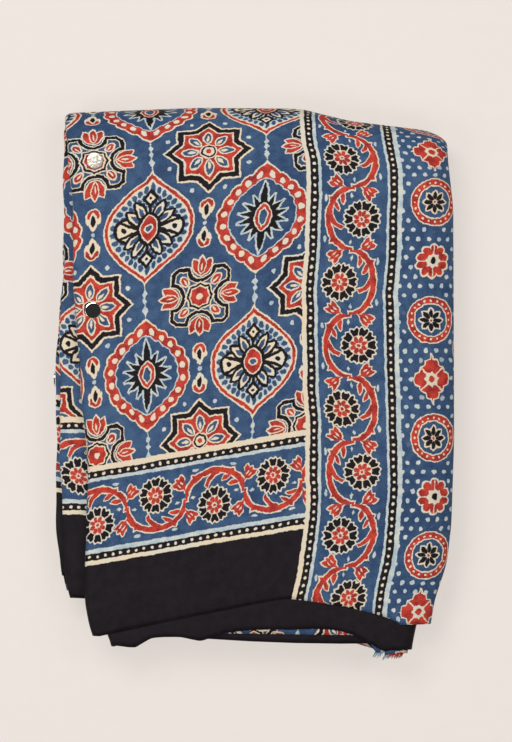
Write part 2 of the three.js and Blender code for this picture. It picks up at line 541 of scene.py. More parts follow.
@dataclass(frozen=True)
class LinedOgee:
    """Medallion with a red line, rows of dashes, and a flower in black line.

    A row of dashes has its depth, its shift, and half a dash's width and length. A side petal has its
    angle, its distance out and half its width.
    """

    half_width: float = 46.0
    half_height: float = 60.5
    outline: Rings = ((CREAM, 0.7), (RED, -0.9), (CREAM, -4.1), (PALE, -6.5))
    dashes: int = 33
    dash_rows: tuple[tuple[float, float, float, float], ...] = (
        (9.4, 0.0, 2.4, 3.6),
        (16.6, 0.5, 2.3, 3.4),
        (23.2, 0.0, 2.0, 3.1),
        (29.0, 0.5, 1.6, 2.6),
    )
    flattening: float = 0.84
    flower: float = 1.1
    side_at: float = 20.5
    side: Pair = (12.2, 12.2)
    side_rings: Rings = ((BLACK, 0.4), (CREAM, -2.7))
    side_margin: float = 1.5
    vein: tuple[Pair, Pair] = ((9.0, 0.5), (26.0, 7.5))
    vein_half: float = 1.5
    eye_at: float = 24.0
    eye_radius: float = 2.5
    side_petals: tuple[Triple, ...] = ((0.66, 17.0, 5.9), (1.10, 18.2, 5.5))
    petal_length: float = 12.2
    petal_rings: Rings = ((BLACK, 0.4), (CREAM, -2.1))
    slit_in: float = 1.0
    slit: Pair = (2.2, 6.0)
    tip_at: float = 28.5
    tip: Pair = (8.0, 9.6)
    tip_line: float = -2.9
    tip_dot: float = 1.4
    stem_half: float = 1.5
    stem_at: float = 20.0
    stem_reach: float = 6.0
    heart: Pair = (11.0, 16.0)
    heart_rings: Rings = ((BLACK, 0.8), (CREAM, -2.2), (RED, -3.3))
    dot_rings: Rings = ((CREAM, 4.3), (BLUE, 2.9))

    def figure(self, x: Ink, y: Ink) -> Figure:
        """Draws the medallion about the origin.

        Args:
            x: Coordinate across.
            y: Coordinate up.

        Returns:
            Its prints.
        """
        edge = ogee(x, y, self.half_width, self.half_height)
        made = rings(edge, *self.outline)
        spread = TURN / self.dashes
        flat = y * self.flattening
        angle, reach = bearing(flat, x), length(x, flat)
        for depth, shift, half_wide, half_long in self.dash_rows:
            step = angle / spread + shift
            sideways = (step - step.round()) * (reach * spread)
            made.append(Stamp(oval(sideways, edge + depth, half_wide, half_long), BLUE))
        return made + self._flower(x / self.flower, y / self.flower)

    def _flower(self, x: Ink, y: Ink) -> Figure:
        """Draws the flower in the medallion.

        Args:
            x: Coordinate across.
            y: Coordinate up.

        Returns:
            Its prints.
        """
        ax, ay = abs(x), abs(y)
        side = oval(ax - self.side_at, y, *self.side)
        vein = stroke(ax, ay, *self.vein) - self.vein_half
        eye = length(ax - self.eye_at, y) - self.eye_radius
        made = rings(side, *self.side_rings)
        made.append(Stamp(most(least(vein, eye), side + self.side_margin), BLACK))
        for angle, out, wide in self.side_petals:
            c, s = math.cos(angle), math.sin(angle)
            along = ax * c + ay * s - out
            across = ay * c - ax * s
            made += rings(lens(across, along, wide, self.petal_length), *self.petal_rings)
            made.append(Stamp(lens(across, along + self.slit_in, *self.slit), BLUE))
        tip = lozenge(ax, ay - self.tip_at, *self.tip)
        stem = ax - self.stem_half + most(abs(ay - self.stem_at) - self.stem_reach, 0.0)
        return [
            *made,
            Stamp(least(tip, stem), BLACK),
            Stamp(tip, CREAM, self.tip_line),
            Stamp(length(ax, ay - self.tip_at) - self.tip_dot, BLACK),
            *rings(lens(x, y, *self.heart), *self.heart_rings),
            *rings(length(x, y), *self.dot_rings),
        ]


@dataclass(frozen=True)
class BeadedOgee:
    """Medallion in a scalloped red ring with cream beads, and a black flower with rays."""

    half_width: float = 46.0
    half_height: float = 62.5
    outline: Rings = ((CREAM, 0.8), (RED, -0.8))
    inside: Rings = ((PALE, -12.2), (BLUE, -13.6))
    scallop: float = 2.2
    scallop_in: float = 1.2
    inner_scallop: float = 1.3
    flattening: float = 0.9
    beads: int = 20
    bead_in: float = 6.4
    bead_radius: float = 3.1
    rays: int = 14
    ray_at: float = 13.0
    ray: Pair = (3.4, 12.0)
    spear_at: float = 18.0
    spear: Pair = (3.8, 18.5)
    core: Pair = (12.0, 18.5)
    glow: float = 1.7
    glow_reach: float = 27.0
    heart: Pair = (9.4, 15.5)
    heart_rings: Rings = ((CREAM, -0.2), (RED, -1.4), (CREAM, -4.3), (BLUE, -5.6))

    def figure(self, x: Ink, y: Ink) -> Figure:
        """Draws the medallion about the origin.

        Args:
            x: Coordinate across.
            y: Coordinate up.

        Returns:
            Its prints.
        """
        edge = ogee(x, y, self.half_width, self.half_height)
        flat = y * self.flattening
        spread = TURN / self.beads
        step = bearing(x, flat) / spread
        near = step - step.floor() - 0.5
        bulge = 1.0 - 4.0 * near * near
        bead = length(near * (length(x, flat) * spread), edge + self.bead_in)
        out, across = petals(x, y, self.rays, math.pi / self.rays)
        ray = lozenge(across, out - self.ray_at, *self.ray)
        spear = lens(x, abs(y) - self.spear_at, *self.spear)
        core = lens(x, y, *self.core)
        lit = most(ray - self.glow, out - self.glow_reach)
        return [
            *rings(edge - bulge * self.scallop + self.scallop_in, *self.outline),
            *rings(edge - bulge * self.inner_scallop, *self.inside),
            Stamp(bead, CREAM, self.bead_radius),
            Stamp(least(lit, spear - self.glow, core - self.glow), PALE),
            Stamp(least(ray, spear, core), BLACK),
            *rings(lens(x, y, *self.heart), *self.heart_rings),
        ]


@dataclass(frozen=True)
class Star:
    """Eight-pointed star with a black line, a red inside and eight petals."""

    size: float = 32.5
    points: int = 8
    outline: Rings = ((CREAM, 0.0), (BLACK, -1.9), (CREAM, -7.0), (RED, -8.6))
    petal_at: float = 18.6
    petal: Pair = (5.2, 9.6)
    petal_rings: Rings = ((CREAM, 0.0), (BLUE, -1.5))
    slit_at: float = 16.5
    slit: Pair = (1.5, 4.4)
    middle: Rings = ((CREAM, 8.8), (BLACK, 7.4), (CREAM, 5.4), (RED, 2.8))
    dots_at: float = 43.5
    dot_radius: float = 2.3

    def figure(self, x: Ink, y: Ink) -> Figure:
        """Draws the star about the origin.

        Args:
            x: Coordinate across.
            y: Coordinate up.

        Returns:
            Its prints.
        """
        out, across = petals(x, y, self.points)
        between, beside = petals(x, y, self.points, TURN / (2 * self.points))
        return [
            *rings(eight_star(x, y) - self.size, *self.outline),
            *rings(lens(across, out - self.petal_at, *self.petal), *self.petal_rings),
            Stamp(lens(across, out - self.slit_at, *self.slit), CREAM),
            *rings(length(x, y), *self.middle),
            Stamp(length(between - self.dots_at, beside) - self.dot_radius, PALE),
        ]


@dataclass(frozen=True)
class Quatrefoil:
    """Four lobes on the diagonals with a bud in each, and four tulips between them."""

    size: float = 0.9
    lobe: float = 33.4
    hollow: float = 13.8
    hollow_at: float = 33.8
    corner: float = 43.0
    outline: Rings = ((CREAM, 1.8), (BLACK, 0.6), (CREAM, -3.4), (BLUE, -4.6))
    bud_at: float = 26.0
    bud: Pair = (6.2, 4.4)
    bud_rings: Rings = ((CREAM, 0.9), (RED, -0.5))
    slit_at: float = 24.5
    slit: Pair = (1.1, 4.2)
    middle: Rings = ((CREAM, 14.6), (BLACK, 13.1), (CREAM, 10.8), (RED, 9.4))
    middle_mix: Triple = (0.4, 0.3, 0.2121)
    dot_radius: float = 3.2
    tulip_at: float = 24.5
    splay: float = 0.52
    side_petal_at: float = 10.4
    side_petal: Pair = (5.0, 10.8)
    side_rings: Rings = ((CREAM, 1.0), (RED, 0.0))
    mid_petal_at: float = 11.8
    mid_petal: Pair = (4.2, 10.2)
    mid_rings: Rings = ((CREAM, 1.0), (RED, -0.3))
    tulip_line: float = 1.5
    vein_at: float = 9.5
    vein: Pair = (1.0, 4.6)

    def figure(self, x: Ink, y: Ink) -> Figure:
        """Draws the quatrefoil about the origin.

        Args:
            x: Coordinate across.
            y: Coordinate up.

        Returns:
            Its prints.
        """
        ax, ay = abs(x) / self.size, abs(y) / self.size
        wide, along, sideways = most(ax, ay), (ax + ay) * DIAGONAL, (ax - ay) * DIAGONAL
        hollows = most(
            self.hollow - length(ax, ay - self.hollow_at),
            self.hollow - length(ax - self.hollow_at, ay),
        )
        bud = oval(along - self.bud_at, sideways, *self.bud)
        square, star, diamond = self.middle_mix
        middle = wide * square + eight_star(ax, ay) * star + (ax + ay) * diamond
        return [
            *self._tulip(wide - self.tulip_at, least(ax, ay)),
            *rings(most(wide - self.lobe, hollows, along - self.corner), *self.outline),
            *rings(bud, *self.bud_rings),
            Stamp(lens(sideways, along - self.slit_at, *self.slit), CREAM),
            *rings(middle, *self.middle),
            Stamp(length(x, y) - self.dot_radius, CREAM),
        ]

    def _tulip(self, out: Ink, across: Ink) -> Figure:
        """Draws a tulip of three pointed petals, the middle one over the others.

        Args:
            out: Distance from the tulip's foot.
            across: Distance from its middle line.

        Returns:
            Its prints.
        """
        c, s = math.cos(self.splay), math.sin(self.splay)
        side = lens(across * c - out * s, out * c + across * s - self.side_petal_at, *self.side_petal)
        middle = lens(across, out - self.mid_petal_at, *self.mid_petal)
        return [
            Stamp(least(side, middle), CREAM, self.tulip_line),
            *rings(side, *self.side_rings),
            *rings(middle, *self.mid_rings),
            Stamp(lens(across, out - self.vein_at, *self.vein), CREAM),
        ]


@dataclass(frozen=True)
class Field:
    """Ground of the cloth: medallions in columns, with stars between them.

    A link of the chains between medallions has its place and half its width and height.
    """

    column: float = 115.5
    row: float = 153.7
    lined: LinedOgee = LinedOgee()
    beaded: BeadedOgee = BeadedOgee()
    star: Star = Star()
    quatrefoil: Quatrefoil = Quatrefoil()
    drop_at: float = 62.5
    drop: Pair = (4.2, 9.6)
    drop_line: float = 1.0
    drop_inset: float = -0.4
    seed: Pair = (2.5, 6.2)
    cap_at: float = 57.5
    cap_radius: float = 6.6
    cap_end: float = 60.5
    cap_inset: float = -0.3
    notch_at: float = 62.0
    notch_radius: float = 2.6
    sepal_at: Pair = (5.6, 60.5)
    sepal: Pair = (1.5, 4.6)
    dot_radius: float = 2.2
    links: tuple[Triple, ...] = ((8.6, 3.2, 5.8), (-1.4, 2.4, 3.8), (-8.4, 2.7, 5.0))
    chain_reach: float = 15.5
    chain_half: float = 0.5

    def figure(self, u: Ink, v: Ink) -> Figure:
        """Draws the whole ground.

        Args:
            u: Coordinate across, from the middle of a lined medallion.
            v: Coordinate up, from the same middle.

        Returns:
            Its prints.
        """
        x, column = repeat(u, self.column)
        y, row = repeat(v, self.row)
        star_x, star_column = repeat(u - self.column / 2, self.column)
        star_y, star_row = repeat(v - self.row / 2, self.row)
        stars = self.star.figure(star_x, star_y), self.quatrefoil.figure(star_x, star_y)
        medallions = self.lined.figure(x, y), self.beaded.figure(x, y)
        return [
            *self._drop(star_x, abs(star_y)),
            self._chain(x, y),
            Choice((star_column + star_row) % 2.0, *stars),
            Choice((column + row) % 2.0, *medallions),
        ]

    def _drop(self, x: Ink, out: Ink) -> Figure:
        """Draws a drop beyond a star, with a red cap and a black seed, and a dot beyond it.

        Args:
            x: Coordinate across.
            out: Distance from the star's middle.

        Returns:
            Its prints.
        """
        cap = most(
            length(x, out - self.cap_at) - self.cap_radius,
            self.notch_radius - length(x, out - self.notch_at),
            out - self.cap_end,
        )
        body = lens(x, out - self.drop_at, *self.drop)
        sepal = lens(abs(x) - self.sepal_at[0], out - self.sepal_at[1], *self.sepal)
        return [
            Stamp(least(body, cap, sepal), CREAM, self.drop_line),
            Stamp(cap, RED, self.cap_inset),
            Stamp(body, CREAM, self.drop_inset),
            Stamp(lens(x, out - self.drop_at, *self.seed), BLACK),
            Stamp(length(x, out - self.row / 2) - self.dot_radius, PALE),
        ]

    def _chain(self, x: Ink, y: Ink) -> Stamp:
        """Draws the lozenges that join the tips of the medallions.

        Args:
            x: Coordinate across.
            y: Coordinate up, from a medallion's middle.

        Returns:
            Their print.
        """
        gap = self.row / 2 - abs(y)
        up = gap - y.below(0.0, SHARP) * (gap * 2.0)
        links = [lozenge(x, up - at, half_wide, half_high) for at, half_wide, half_high in self.links]
        line = abs(x) - self.chain_half + most(gap - self.chain_reach, 0.0)
        return Stamp(least(*links, line), PALE)


@dataclass(frozen=True)
class Guard:
    """Narrow band between the parts of the print: a line, black with dots, and another line."""

    first: float
    black: float
    last: float
    dots: float
    first_dye: Dye = CREAM
    last_dye: Dye = PALE
    dot_radius: float = 1.6

    @property
    def width(self) -> float:
        """Whole width of the band."""
        return self.first + self.black + self.last

    def figure(self, along: Ink, across: Ink) -> Figure:
        """Draws the band.

        Args:
            along: Coordinate along the band.
            across: Coordinate across it, from its first side.

        Returns:
            Its prints.
        """
        middle = across - self.first - self.black / 2
        whole = abs(across - self.width / 2) - self.width / 2
        near, _ = repeat(along, self.dots)
        return [
            Stamp(most(whole, across - self.first), self.first_dye),
            Stamp(most(whole, self.width - self.last - across), self.last_dye),
            Stamp(abs(middle) - self.black / 2, BLACK),
            Stamp(length(near, middle) - self.dot_radius, CREAM),
        ]


@dataclass(frozen=True)
class Vine:
    """Band of flowers that a red stem winds round."""

    half_wave: float = 66.0
    offset: float = 10.2
    bend: Pair = (33.05, 26.6)
    bend_in: float = 1.0
    stem_half: float = 1.9
    stem_swell: float = 0.9
    stem_past: float = 1.2
    stem_rings: Rings = ((CREAM, 1.2), (RED, 0.0))
    branch_turns: Pair = (0.85, 1.8)
    branch_from: float = 1.75
    branch_in: float = 1.0
    branch_rate: float = 14.0
    branch_half: float = 3.3
    branch_taper: float = 1.5
    branch_cut: float = 20.0
    turn_radius: float = 28.0
    leaf_turns: Pair = (0.50, 0.95)
    leaf_slant: float = 0.7
    leaf_in: float = 6.2
    leaf: Pair = (2.6, 5.4)
    thorn_turn: float = 0.05
    thorn_apart: float = 21.0
    thorn_out: float = 1.8
    thorn: Pair = (2.6, 3.2)
    fleck_at: Pair = (21.0, 29.0)
    fleck: Pair = (3.6, 1.5)
    barb_at: Pair = (24.5, 1.5)
    barb: Pair = (3.0, 1.6)
    bud_at: Pair = (31.8, -12.8)
    bud_turn: float = 0.85
    cup_at: float = 4.4
    cup: Pair = (5.2, 4.8)
    tooth_splay: Pair = (0.87, 0.5)
    tooth_from: float = 2.0
    tooth_at: float = 5.8
    tooth: Pair = (2.9, 6.6)
    mid_tooth_at: float = 7.8
    mid_tooth: Pair = (2.4, 5.6)
    stalk_at: Pair = (36.5, -7.5)
    stalk_half: float = 1.6
    vein_at: Pair = (1.8, 5.6)
    vein: Pair = (0.7, 2.6)
    flower: float = 18.9
    flower_petals: int = 10
    flower_rings: Rings = ((PALE, 0.6), (CREAM, 0.0))
    scallop: float = 0.9
    petal_inset: float = 1.3
    petal_from: float = 9.9
    petal_gap: float = 0.55
    seeds: int = 8
    seed_at: float = 6.1
    seed: Pair = (3.3, 2.2)
    middle_radius: float = 1.7

    def figure(self, along: Ink, across: Ink) -> Figure:
        """Draws the band.

        The stem is half an ellipse round each flower, on its two sides by turns, and a branch leaves it
        inwards at an even rate.

        Args:
            along: Coordinate along the band, from the middle of a flower.
            across: Coordinate across it, from its middle.

        Returns:
            Its prints.
        """
        a, count = repeat(along, self.half_wave)
        w = across * (1.0 - 2.0 * (count % 2.0))
        aa, high = abs(a), w + self.bend_in
        out = oval(a, high, *self.bend)
        angle, curl = bearing(high, a), bearing(high, -a)
        swell = most(angle.sin(), 0.0) * self.stem_swell
        stem = most(abs(out) - self.stem_half - swell, -self.stem_past - w)
        first, last = self.branch_turns
        turned = self.branch_from - curl
        branch = abs(out + self.branch_in + turned * self.branch_rate) - self.branch_half
        branch = branch + turned * self.branch_taper
        branch = most(branch, (curl - last) * self.branch_cut, (first - curl) * self.branch_cut)
        leaf = least(*(self._leaf(out, angle - turn) for turn in self.leaf_turns))
        beside = abs(angle - TURN / 4 - self.thorn_turn) * self.turn_radius - self.thorn_apart
        thorn = lozenge(beside, out - self.thorn_out, *self.thorn)
        fleck = oval(aa - self.fleck_at[0], w - self.fleck_at[1], *self.fleck)
        barb = lozenge(abs(aa - self.barb_at[0]), w - self.barb_at[1], *self.barb)
        return [
            *rings(least(stem, branch, leaf, thorn), *self.stem_rings),
            *self._bud(aa, w),
            Stamp(least(fleck, barb), PALE),
            *self._bloom(a, w + self.offset),
        ]

    def _leaf(self, out: Ink, turn: Ink) -> Ink:
        """Small pointed leaf on the inside of the stem.

        Args:
            out: Distance outside the stem's middle line.
            turn: Angle from the leaf.

        Returns:
            The signed distance to the leaf's edge.
        """
        along = turn * self.turn_radius * self.leaf_slant
        deep = (out + self.leaf_in) * self.leaf_slant
        return lens(along + deep, deep - along, *self.leaf)

    def _bud(self, a: Ink, w: Ink) -> Figure:
        """Draws the bud on each side of a flower: a round cup with three teeth on a short stalk.

        Args:
            a: Distance along the band from the flower's middle.
            w: Coordinate across the band.

        Returns:
            Its prints.
        """
        x, y = a - self.bud_at[0], w - self.bud_at[1]
        c, s = math.cos(self.bud_turn), math.sin(self.bud_turn)
        out, side = -(x * c + y * s), abs(x * s - y * c)
        c, s = self.tooth_splay
        above = out - self.tooth_from
        shape = least(
            oval(side, out - self.cup_at, *self.cup),
            lens(side * c - above * s, above * c + side * s - self.tooth_at, *self.tooth),
            lens(side, out - self.mid_tooth_at, *self.mid_tooth),
            stroke(a, w, self.stalk_at, self.bud_at) - self.stalk_half,
        )
        vein = lens(side - self.vein_at[0], out - self.vein_at[1], *self.vein)
        return [*rings(shape, *self.stem_rings), Stamp(vein, CREAM)]

    def _bloom(self, a: Ink, w: Ink) -> Figure:
        """Draws the flower, black petals round red seeds.

        Args:
            a: Coordinate along the band from the flower's middle.
            w: Coordinate across it.

        Returns:
            Its prints.
        """
        reach, angle = length(a, w), bearing(w, a)
        disc = reach + (angle * (2.0 * self.flower_petals)).cos() * self.scallop - self.flower
        gap = abs((angle * (self.flower_petals / 2)).sin()) * (reach * (2.0 / self.flower_petals))
        out, across = petals(a, w, self.seeds, TURN / (2 * self.seeds))
        return [
            *rings(disc, *self.flower_rings),
            Stamp(most(disc + self.petal_inset, self.petal_from - reach, self.petal_gap - gap), BLACK),
            Stamp(oval(out - self.seed_at, across, *self.seed), RED),
            Stamp(reach - self.middle_radius, RED),
        ]


@dataclass(frozen=True)
class Roundels:
    """End panel of the cloth: roundels, flowers and diamonds in columns on a dotted ground."""

    pitch: float = 63.0
    column: float = 53.0
    column_shift: float = 31.0
    dots: float = 11.6
    dot_rows: float = 0.86
    dot_radius: float = 2.4
    clear: float = 23.0
    more_clear: float = 7.0
    outer_ring: Rings = ((CREAM, 26.2), (RED, 24.9))
    inner_ring: Rings = ((CREAM, 18.6), (BLUE, 17.2))
    beads: int = 20
    beads_at: float = 21.3
    bead_radius: float = 1.2
    sepals: int = 8
    sepal_at: float = 7.2
    sepal: Pair = (2.5, 5.2)
    sepal_rings: Rings = ((CREAM, 1.5), (BLACK, 0.0))
    eye: Rings = ((CREAM, 2.4), (RED, 1.3))
    flower: float = 14.0
    flower_petals: int = 10
    petal_at: float = 12.6
    petal: Pair = (6.2, 5.0)
    flower_rings: Rings = ((CREAM, 0.6), (RED, -1.0))
    flower_cross: Pair = (0.45, 1.0)
    flower_star: float = 6.3
    seed: Pair = (3.0, 4.0)
    diamond: Pair = (21.5, 24.5)
    diamond_rings: Rings = ((CREAM, 1.1), (RED, -0.5))
    tooth: float = 6.6
    tooth_depth: float = 2.6
    diamond_cross: Pair = (0.7, 0.8)
    diamond_star: float = 5.8
    diamond_dot: float = 3.6

    def figure(self, along: Ink, across: Ink) -> Figure:
        """Draws the panel.

        Args:
            along: Coordinate along a column, from the middle of a diamond.
            across: Coordinate across, from the middle of a column.

        Returns:
            Its prints.
        """
        column = most(repeat(across, self.column)[1], 0.0)
        x = across - column * self.column
        y, count = repeat(along + (column % 2.0) * self.column_shift, self.pitch)
        dot_y, line = repeat(along, self.dots * self.dot_rows)
        dot_x, _ = repeat(across + (line % 2.0) * (self.dots / 2), self.dots)
        clear = self.clear + (count % 2.0) * self.more_clear - length(x - dot_x, y - dot_y)
        blossom = abs(count % 4.0 - 2.0).below(0.5, SHARP)
        return [
            Stamp(most(length(dot_x, dot_y) - self.dot_radius, clear), PALE),
            Choice(
                count % 2.0,
                [Choice(blossom, self._diamond(x, y), self._flower(x, y))],
                self._roundel(x, y),
            ),
        ]

    def _roundel(self, x: Ink, y: Ink) -> Figure:
        """Draws a red ring with cream dots round a small black flower.

        Args:
            x: Coordinate across.
            y: Coordinate along.

        Returns:
            Its prints.
        """
        reach = length(x, y)
        step = bearing(y, x) * (self.beads / TURN)
        sideways = (step - step.round()) * (self.beads_at * TURN / self.beads)
        out, across = petals(x, y, self.sepals)
        return [
            *rings(reach, *self.outer_ring),
            Stamp(length(sideways, reach - self.beads_at) - self.bead_radius, CREAM),
            *rings(reach, *self.inner_ring),
            *rings(lens(across, out - self.sepal_at, *self.sepal), *self.sepal_rings),
            *rings(reach, *self.eye),
        ]

    def _flower(self, x: Ink, y: Ink) -> Figure:
        """Draws a red flower of ten round petals with a cream star.

        Args:
            x: Coordinate across.
            y: Coordinate along.

        Returns:
            Its prints.
        """
        out, across = petals(x, y, self.flower_petals, TURN / (2 * self.flower_petals))
        edge = least(oval(out - self.petal_at, across, *self.petal), length(x, y) - self.flower)
        half, inset = self.flower_cross
        return [
            *rings(edge, *self.flower_rings),
            Stamp(most(least(abs(x), abs(y)) - half, edge + inset), CREAM),
            Stamp(eight_star(x, y) - self.flower_star, CREAM),
            Stamp(oval(x, y, *self.seed), BLACK),
        ]

    def _diamond(self, x: Ink, y: Ink) -> Figure:
        """Draws a red diamond with scalloped sides and a cream star.

        Args:
            x: Coordinate across.
            y: Coordinate along.

        Returns:
            Its prints.
        """
        tooth = abs(((abs(x) - abs(y)) / self.tooth) % 2.0 - 1.0) * self.tooth_depth
        edge = lozenge(x, y, *self.diamond) - tooth + self.tooth_depth / 2
        half, inset = self.diamond_cross
        return [
            *rings(edge, *self.diamond_rings),
            Stamp(most(abs(abs(x) - abs(y)) * DIAGONAL - half, edge + inset), CREAM),
            Stamp(eight_star(x, y) - self.diamond_star, CREAM),
            Stamp(length(x, y) - self.diamond_dot, RED),
        ]


class Region(Enum):
    """Parts of the cloth that are printed differently, by material slot."""

    FIELD = 0
    BORDER = 1
    HEM = 2
    END_VINE = 3
    END_PANEL = 4
    RIM = 5


@dataclass(frozen=True)
class Layout:
    """Where the parts of the print lie on the unfolded cloth, in millimetres."""

    end_guard: float = 50.4
    end_guard_two: float = 137.3
    end_vine_middle: float = 100.6
    end_column: float = 188.6
    border_guard: float = -70.3
    border_guard_two: float = -157.5
    border_middle: float = -122.2
    guard: Guard = Guard(4.8, 8.2, 3.4, 7.8)
    guard_two: Guard = Guard(2.8, 8.4, 5.0, 7.8, PALE, PALE)
    upper_guard: Guard = Guard(6.0, 7.0, 3.6, 8.4)
    lower_guard: Guard = Guard(4.7, 7.0, 4.6, 8.4, PALE, CREAM)

    @property
    def border_edges(self) -> Pair:
        """Middles of the two guards of the border, upper and lower."""
        upper = self.border_guard - self.upper_guard.width / 2
        return upper, self.border_guard_two - self.lower_guard.width / 2

    @property
    def end_edges(self) -> Pair:
        """Middles of the two guards of the printed end."""
        return self.end_guard + self.guard.width / 2, self.end_guard_two + self.guard_two.width / 2


@dataclass(frozen=True)
class Palette:
    """Colours of the dyes, linear."""

    blue: Triple = (0.024, 0.052, 0.119)
    pale_blue: Triple = (0.056, 0.108, 0.205)
    cream: Triple = (0.73, 0.605, 0.435)
    cool_cream: Triple = (0.62, 0.62, 0.55)
    sky_blue: Triple = (0.30, 0.42, 0.50)
    red: Triple = (0.56, 0.052, 0.032)
    dark_red: Triple = (0.25, 0.018, 0.018)
    black: Triple = (0.0062, 0.0040, 0.0058)
    worn_black: Triple = (0.013, 0.009, 0.012)


@dataclass(frozen=True)
class PrintedCotton:
    """Finish of the cloth: block print on fine plain-woven cotton with a faint shine.

    A wander of the blocks has its waves in a metre and its reach in millimetres. A noise has its waves
    in a metre and its octaves. Cooled and faded have the middle and width of a step, and its height.
    """

    palette: Palette = Palette()
    layout: Layout = Layout()
    roughness: float = 0.41
    fine_roughness: float = 0.3
    shine: float = 0.11
    sheen: float = 0.012
    sheen_roughness: float = 0.4
    thread: float = 0.55
    weave: float = 0.4
    weave_height: float = 0.0002
    weave_strength: float = 0.35
    wander: tuple[Pair, ...] = ((22.0, 3.3), (150.0, 2.4), (480.0, 1.3))
    guard_wander: float = 0.8
    broad: Pair = (9.0, 3.0)
    blots: Pair = (95.0, 3.0)
    fine: Pair = (900.0, 2.0)
    uneven: tuple[float, float, float, float] = (1.5, 1.8, 2.4, 2.38)
    spots: Triple = (3.0, 2.6, 2.4)
    cooled: Triple = (0.47, 0.12, 0.5)
    faded: Triple = (0.5, 0.4, 0.8)
    motifs: tuple[tuple[Region, Field | Vine | Roundels], ...] = (
        (Region.FIELD, Field()),
        (Region.BORDER, Vine()),
        (Region.END_VINE, Vine()),
        (Region.END_PANEL, Roundels()),
    )

    def material(self, region: Region) -> bpy.types.Material:
        """Makes the material of one part of the print.

        The weave is the product of two sines, one along each thread.

        Args:
            region: The part.

        Returns:
            The material.
        """
        well = Inkwell("print_" + region.name.lower())
        u, v, _ = well.chart("Print")
        s, t, cloth = well.chart("Cloth")
        aside, up = self._wander(well, cloth)
        s, t = s + aside * self.guard_wander, t + up * self.guard_wander
        dyes, fine = self._dyes(well, cloth)
        pace = TURN / self.thread
        weave = (s * pace).sin() * (t * pace).sin()
        return well.dressed(
            {
                "Base Color": self._drawn(region, dyes, (u + aside, v + up), (s, t)),
                "Roughness": fine * self.fine_roughness + self.roughness,
                "Specular IOR Level": self.shine,
                "Sheen Weight": self.sheen,
                "Sheen Roughness": self.sheen_roughness,
                "Normal": well.bump(weave * self.weave + fine, self.weave_strength, self.weave_height),
            }
        )

    def _wander(self, well: Inkwell, cloth: bpy.types.NodeSocket) -> tuple[Ink, Ink]:
        """Moves the print about a little, as blocks set down by hand do.

        Args:
            well: The material.
            cloth: Socket of the cloth's own coordinates.

        Returns:
            How far the print is moved along its two coordinates.
        """
        aside, up = well.number(0.0), well.number(0.0)
        for scale, reach in self.wander:
            _, shift = well.noise(cloth, scale, 1.0)
            parts = well.node("ShaderNodeSeparateColor", None, {0: shift}).outputs
            aside = aside + (Ink(well, parts[0]) - 0.5) * reach
            up = up + (Ink(well, parts[1]) - 0.5) * reach
        return aside, up

    def _dyes(self, well: Inkwell, cloth: bpy.types.NodeSocket) -> tuple[Dyes, Ink]:
        """Mixes the dyes, each uneven over the cloth: weighted sums of noise mix it with a second colour.

        Args:
            well: The material.
            cloth: Socket of the cloth's own coordinates.

        Returns:
            The dyes, and the fine unevenness of the cloth.
        """
        broad, blots, fine = (well.noise(cloth, *noise)[0] for noise in (self.broad, self.blots, self.fine))
        of_broad, of_blots, of_fine, base = self.uneven
        uneven = (broad * of_broad + blots * of_blots + fine * of_fine - base).within(0.0, 1.0)
        of_blots, of_fine, base = self.spots
        spots = (blots * of_blots + fine * of_fine - base).within(0.0, 1.0)
        cooled = broad.below(*self.cooled[:2]) * self.cooled[2]
        faded = blots.below(*self.faded[:2]) * self.faded[2]
        tones = self.palette
        mixed = {
            BLUE: (tones.blue, uneven, tones.pale_blue),
            CREAM: (tones.cream, cooled, tones.cool_cream),
            PALE: (tones.cool_cream, faded, tones.sky_blue),
            RED: (tones.red, spots, tones.dark_red),
            BLACK: (tones.black, uneven, tones.worn_black),
        }
        return {dye: well.hue(one).over(mask, other) for dye, (one, mask, other) in mixed.items()}, fine

    def _drawn(self, region: Region, dyes: Dyes, own: tuple[Ink, Ink], cloth: tuple[Ink, Ink]) -> Hue:
        """Prints one part of the cloth with the guards along its sides.

        Args:
            region: The part.
            dyes: The dyes.
            own: Coordinates of that part's print.
            cloth: Coordinates along the cloth, and across it from fold to hem.

        Returns:
            The colour.
        """
        plan, motifs = self.layout, dict(self.motifs)
        s, t = cloth
        figure = motifs[region].figure(*own) if region in motifs else []
        first_guard = plan.guard.figure(t, s - plan.end_guard)
        if region in (Region.END_VINE, Region.END_PANEL):
            figure += first_guard + plan.guard_two.figure(t, s - plan.end_guard_two)
        else:
            figure += plan.upper_guard.figure(s, plan.border_guard - t)
            figure += plan.lower_guard.figure(s, plan.border_guard_two - t) + first_guard
        return printed(dyes[BLUE if region in motifs else BLACK], dyes, figure)


@dataclass(frozen=True)
class Yarn:
    """Finish of bare or dyed cotton yarn, mottled between two colours."""

    name: str
    colour: Triple
    shade: Triple
    scale: float = 700.0
    detail: float = 2.0
    roughness: float = 0.65
    follows_cloth: bool = False
    mottling: float = 0.2
    shine: float = 0.2

    def material(self) -> bpy.types.Material:
        """Makes the material, on the cloth's own coordinates where it follows the cloth.

        Returns:
            The material.
        """
        well = Inkwell(self.name)
        if self.follows_cloth:
            mottle, _ = well.noise(well.chart("Cloth")[2], self.scale, self.detail)
        else:
            mottle = well.grain(self.scale, self.detail)
        return well.dressed(
            {
                "Base Color": well.hue(self.shade).over(mottle, self.colour),
                "Roughness": mottle * self.mottling + self.roughness,
                "Specular IOR Level": self.shine,
            }
        )


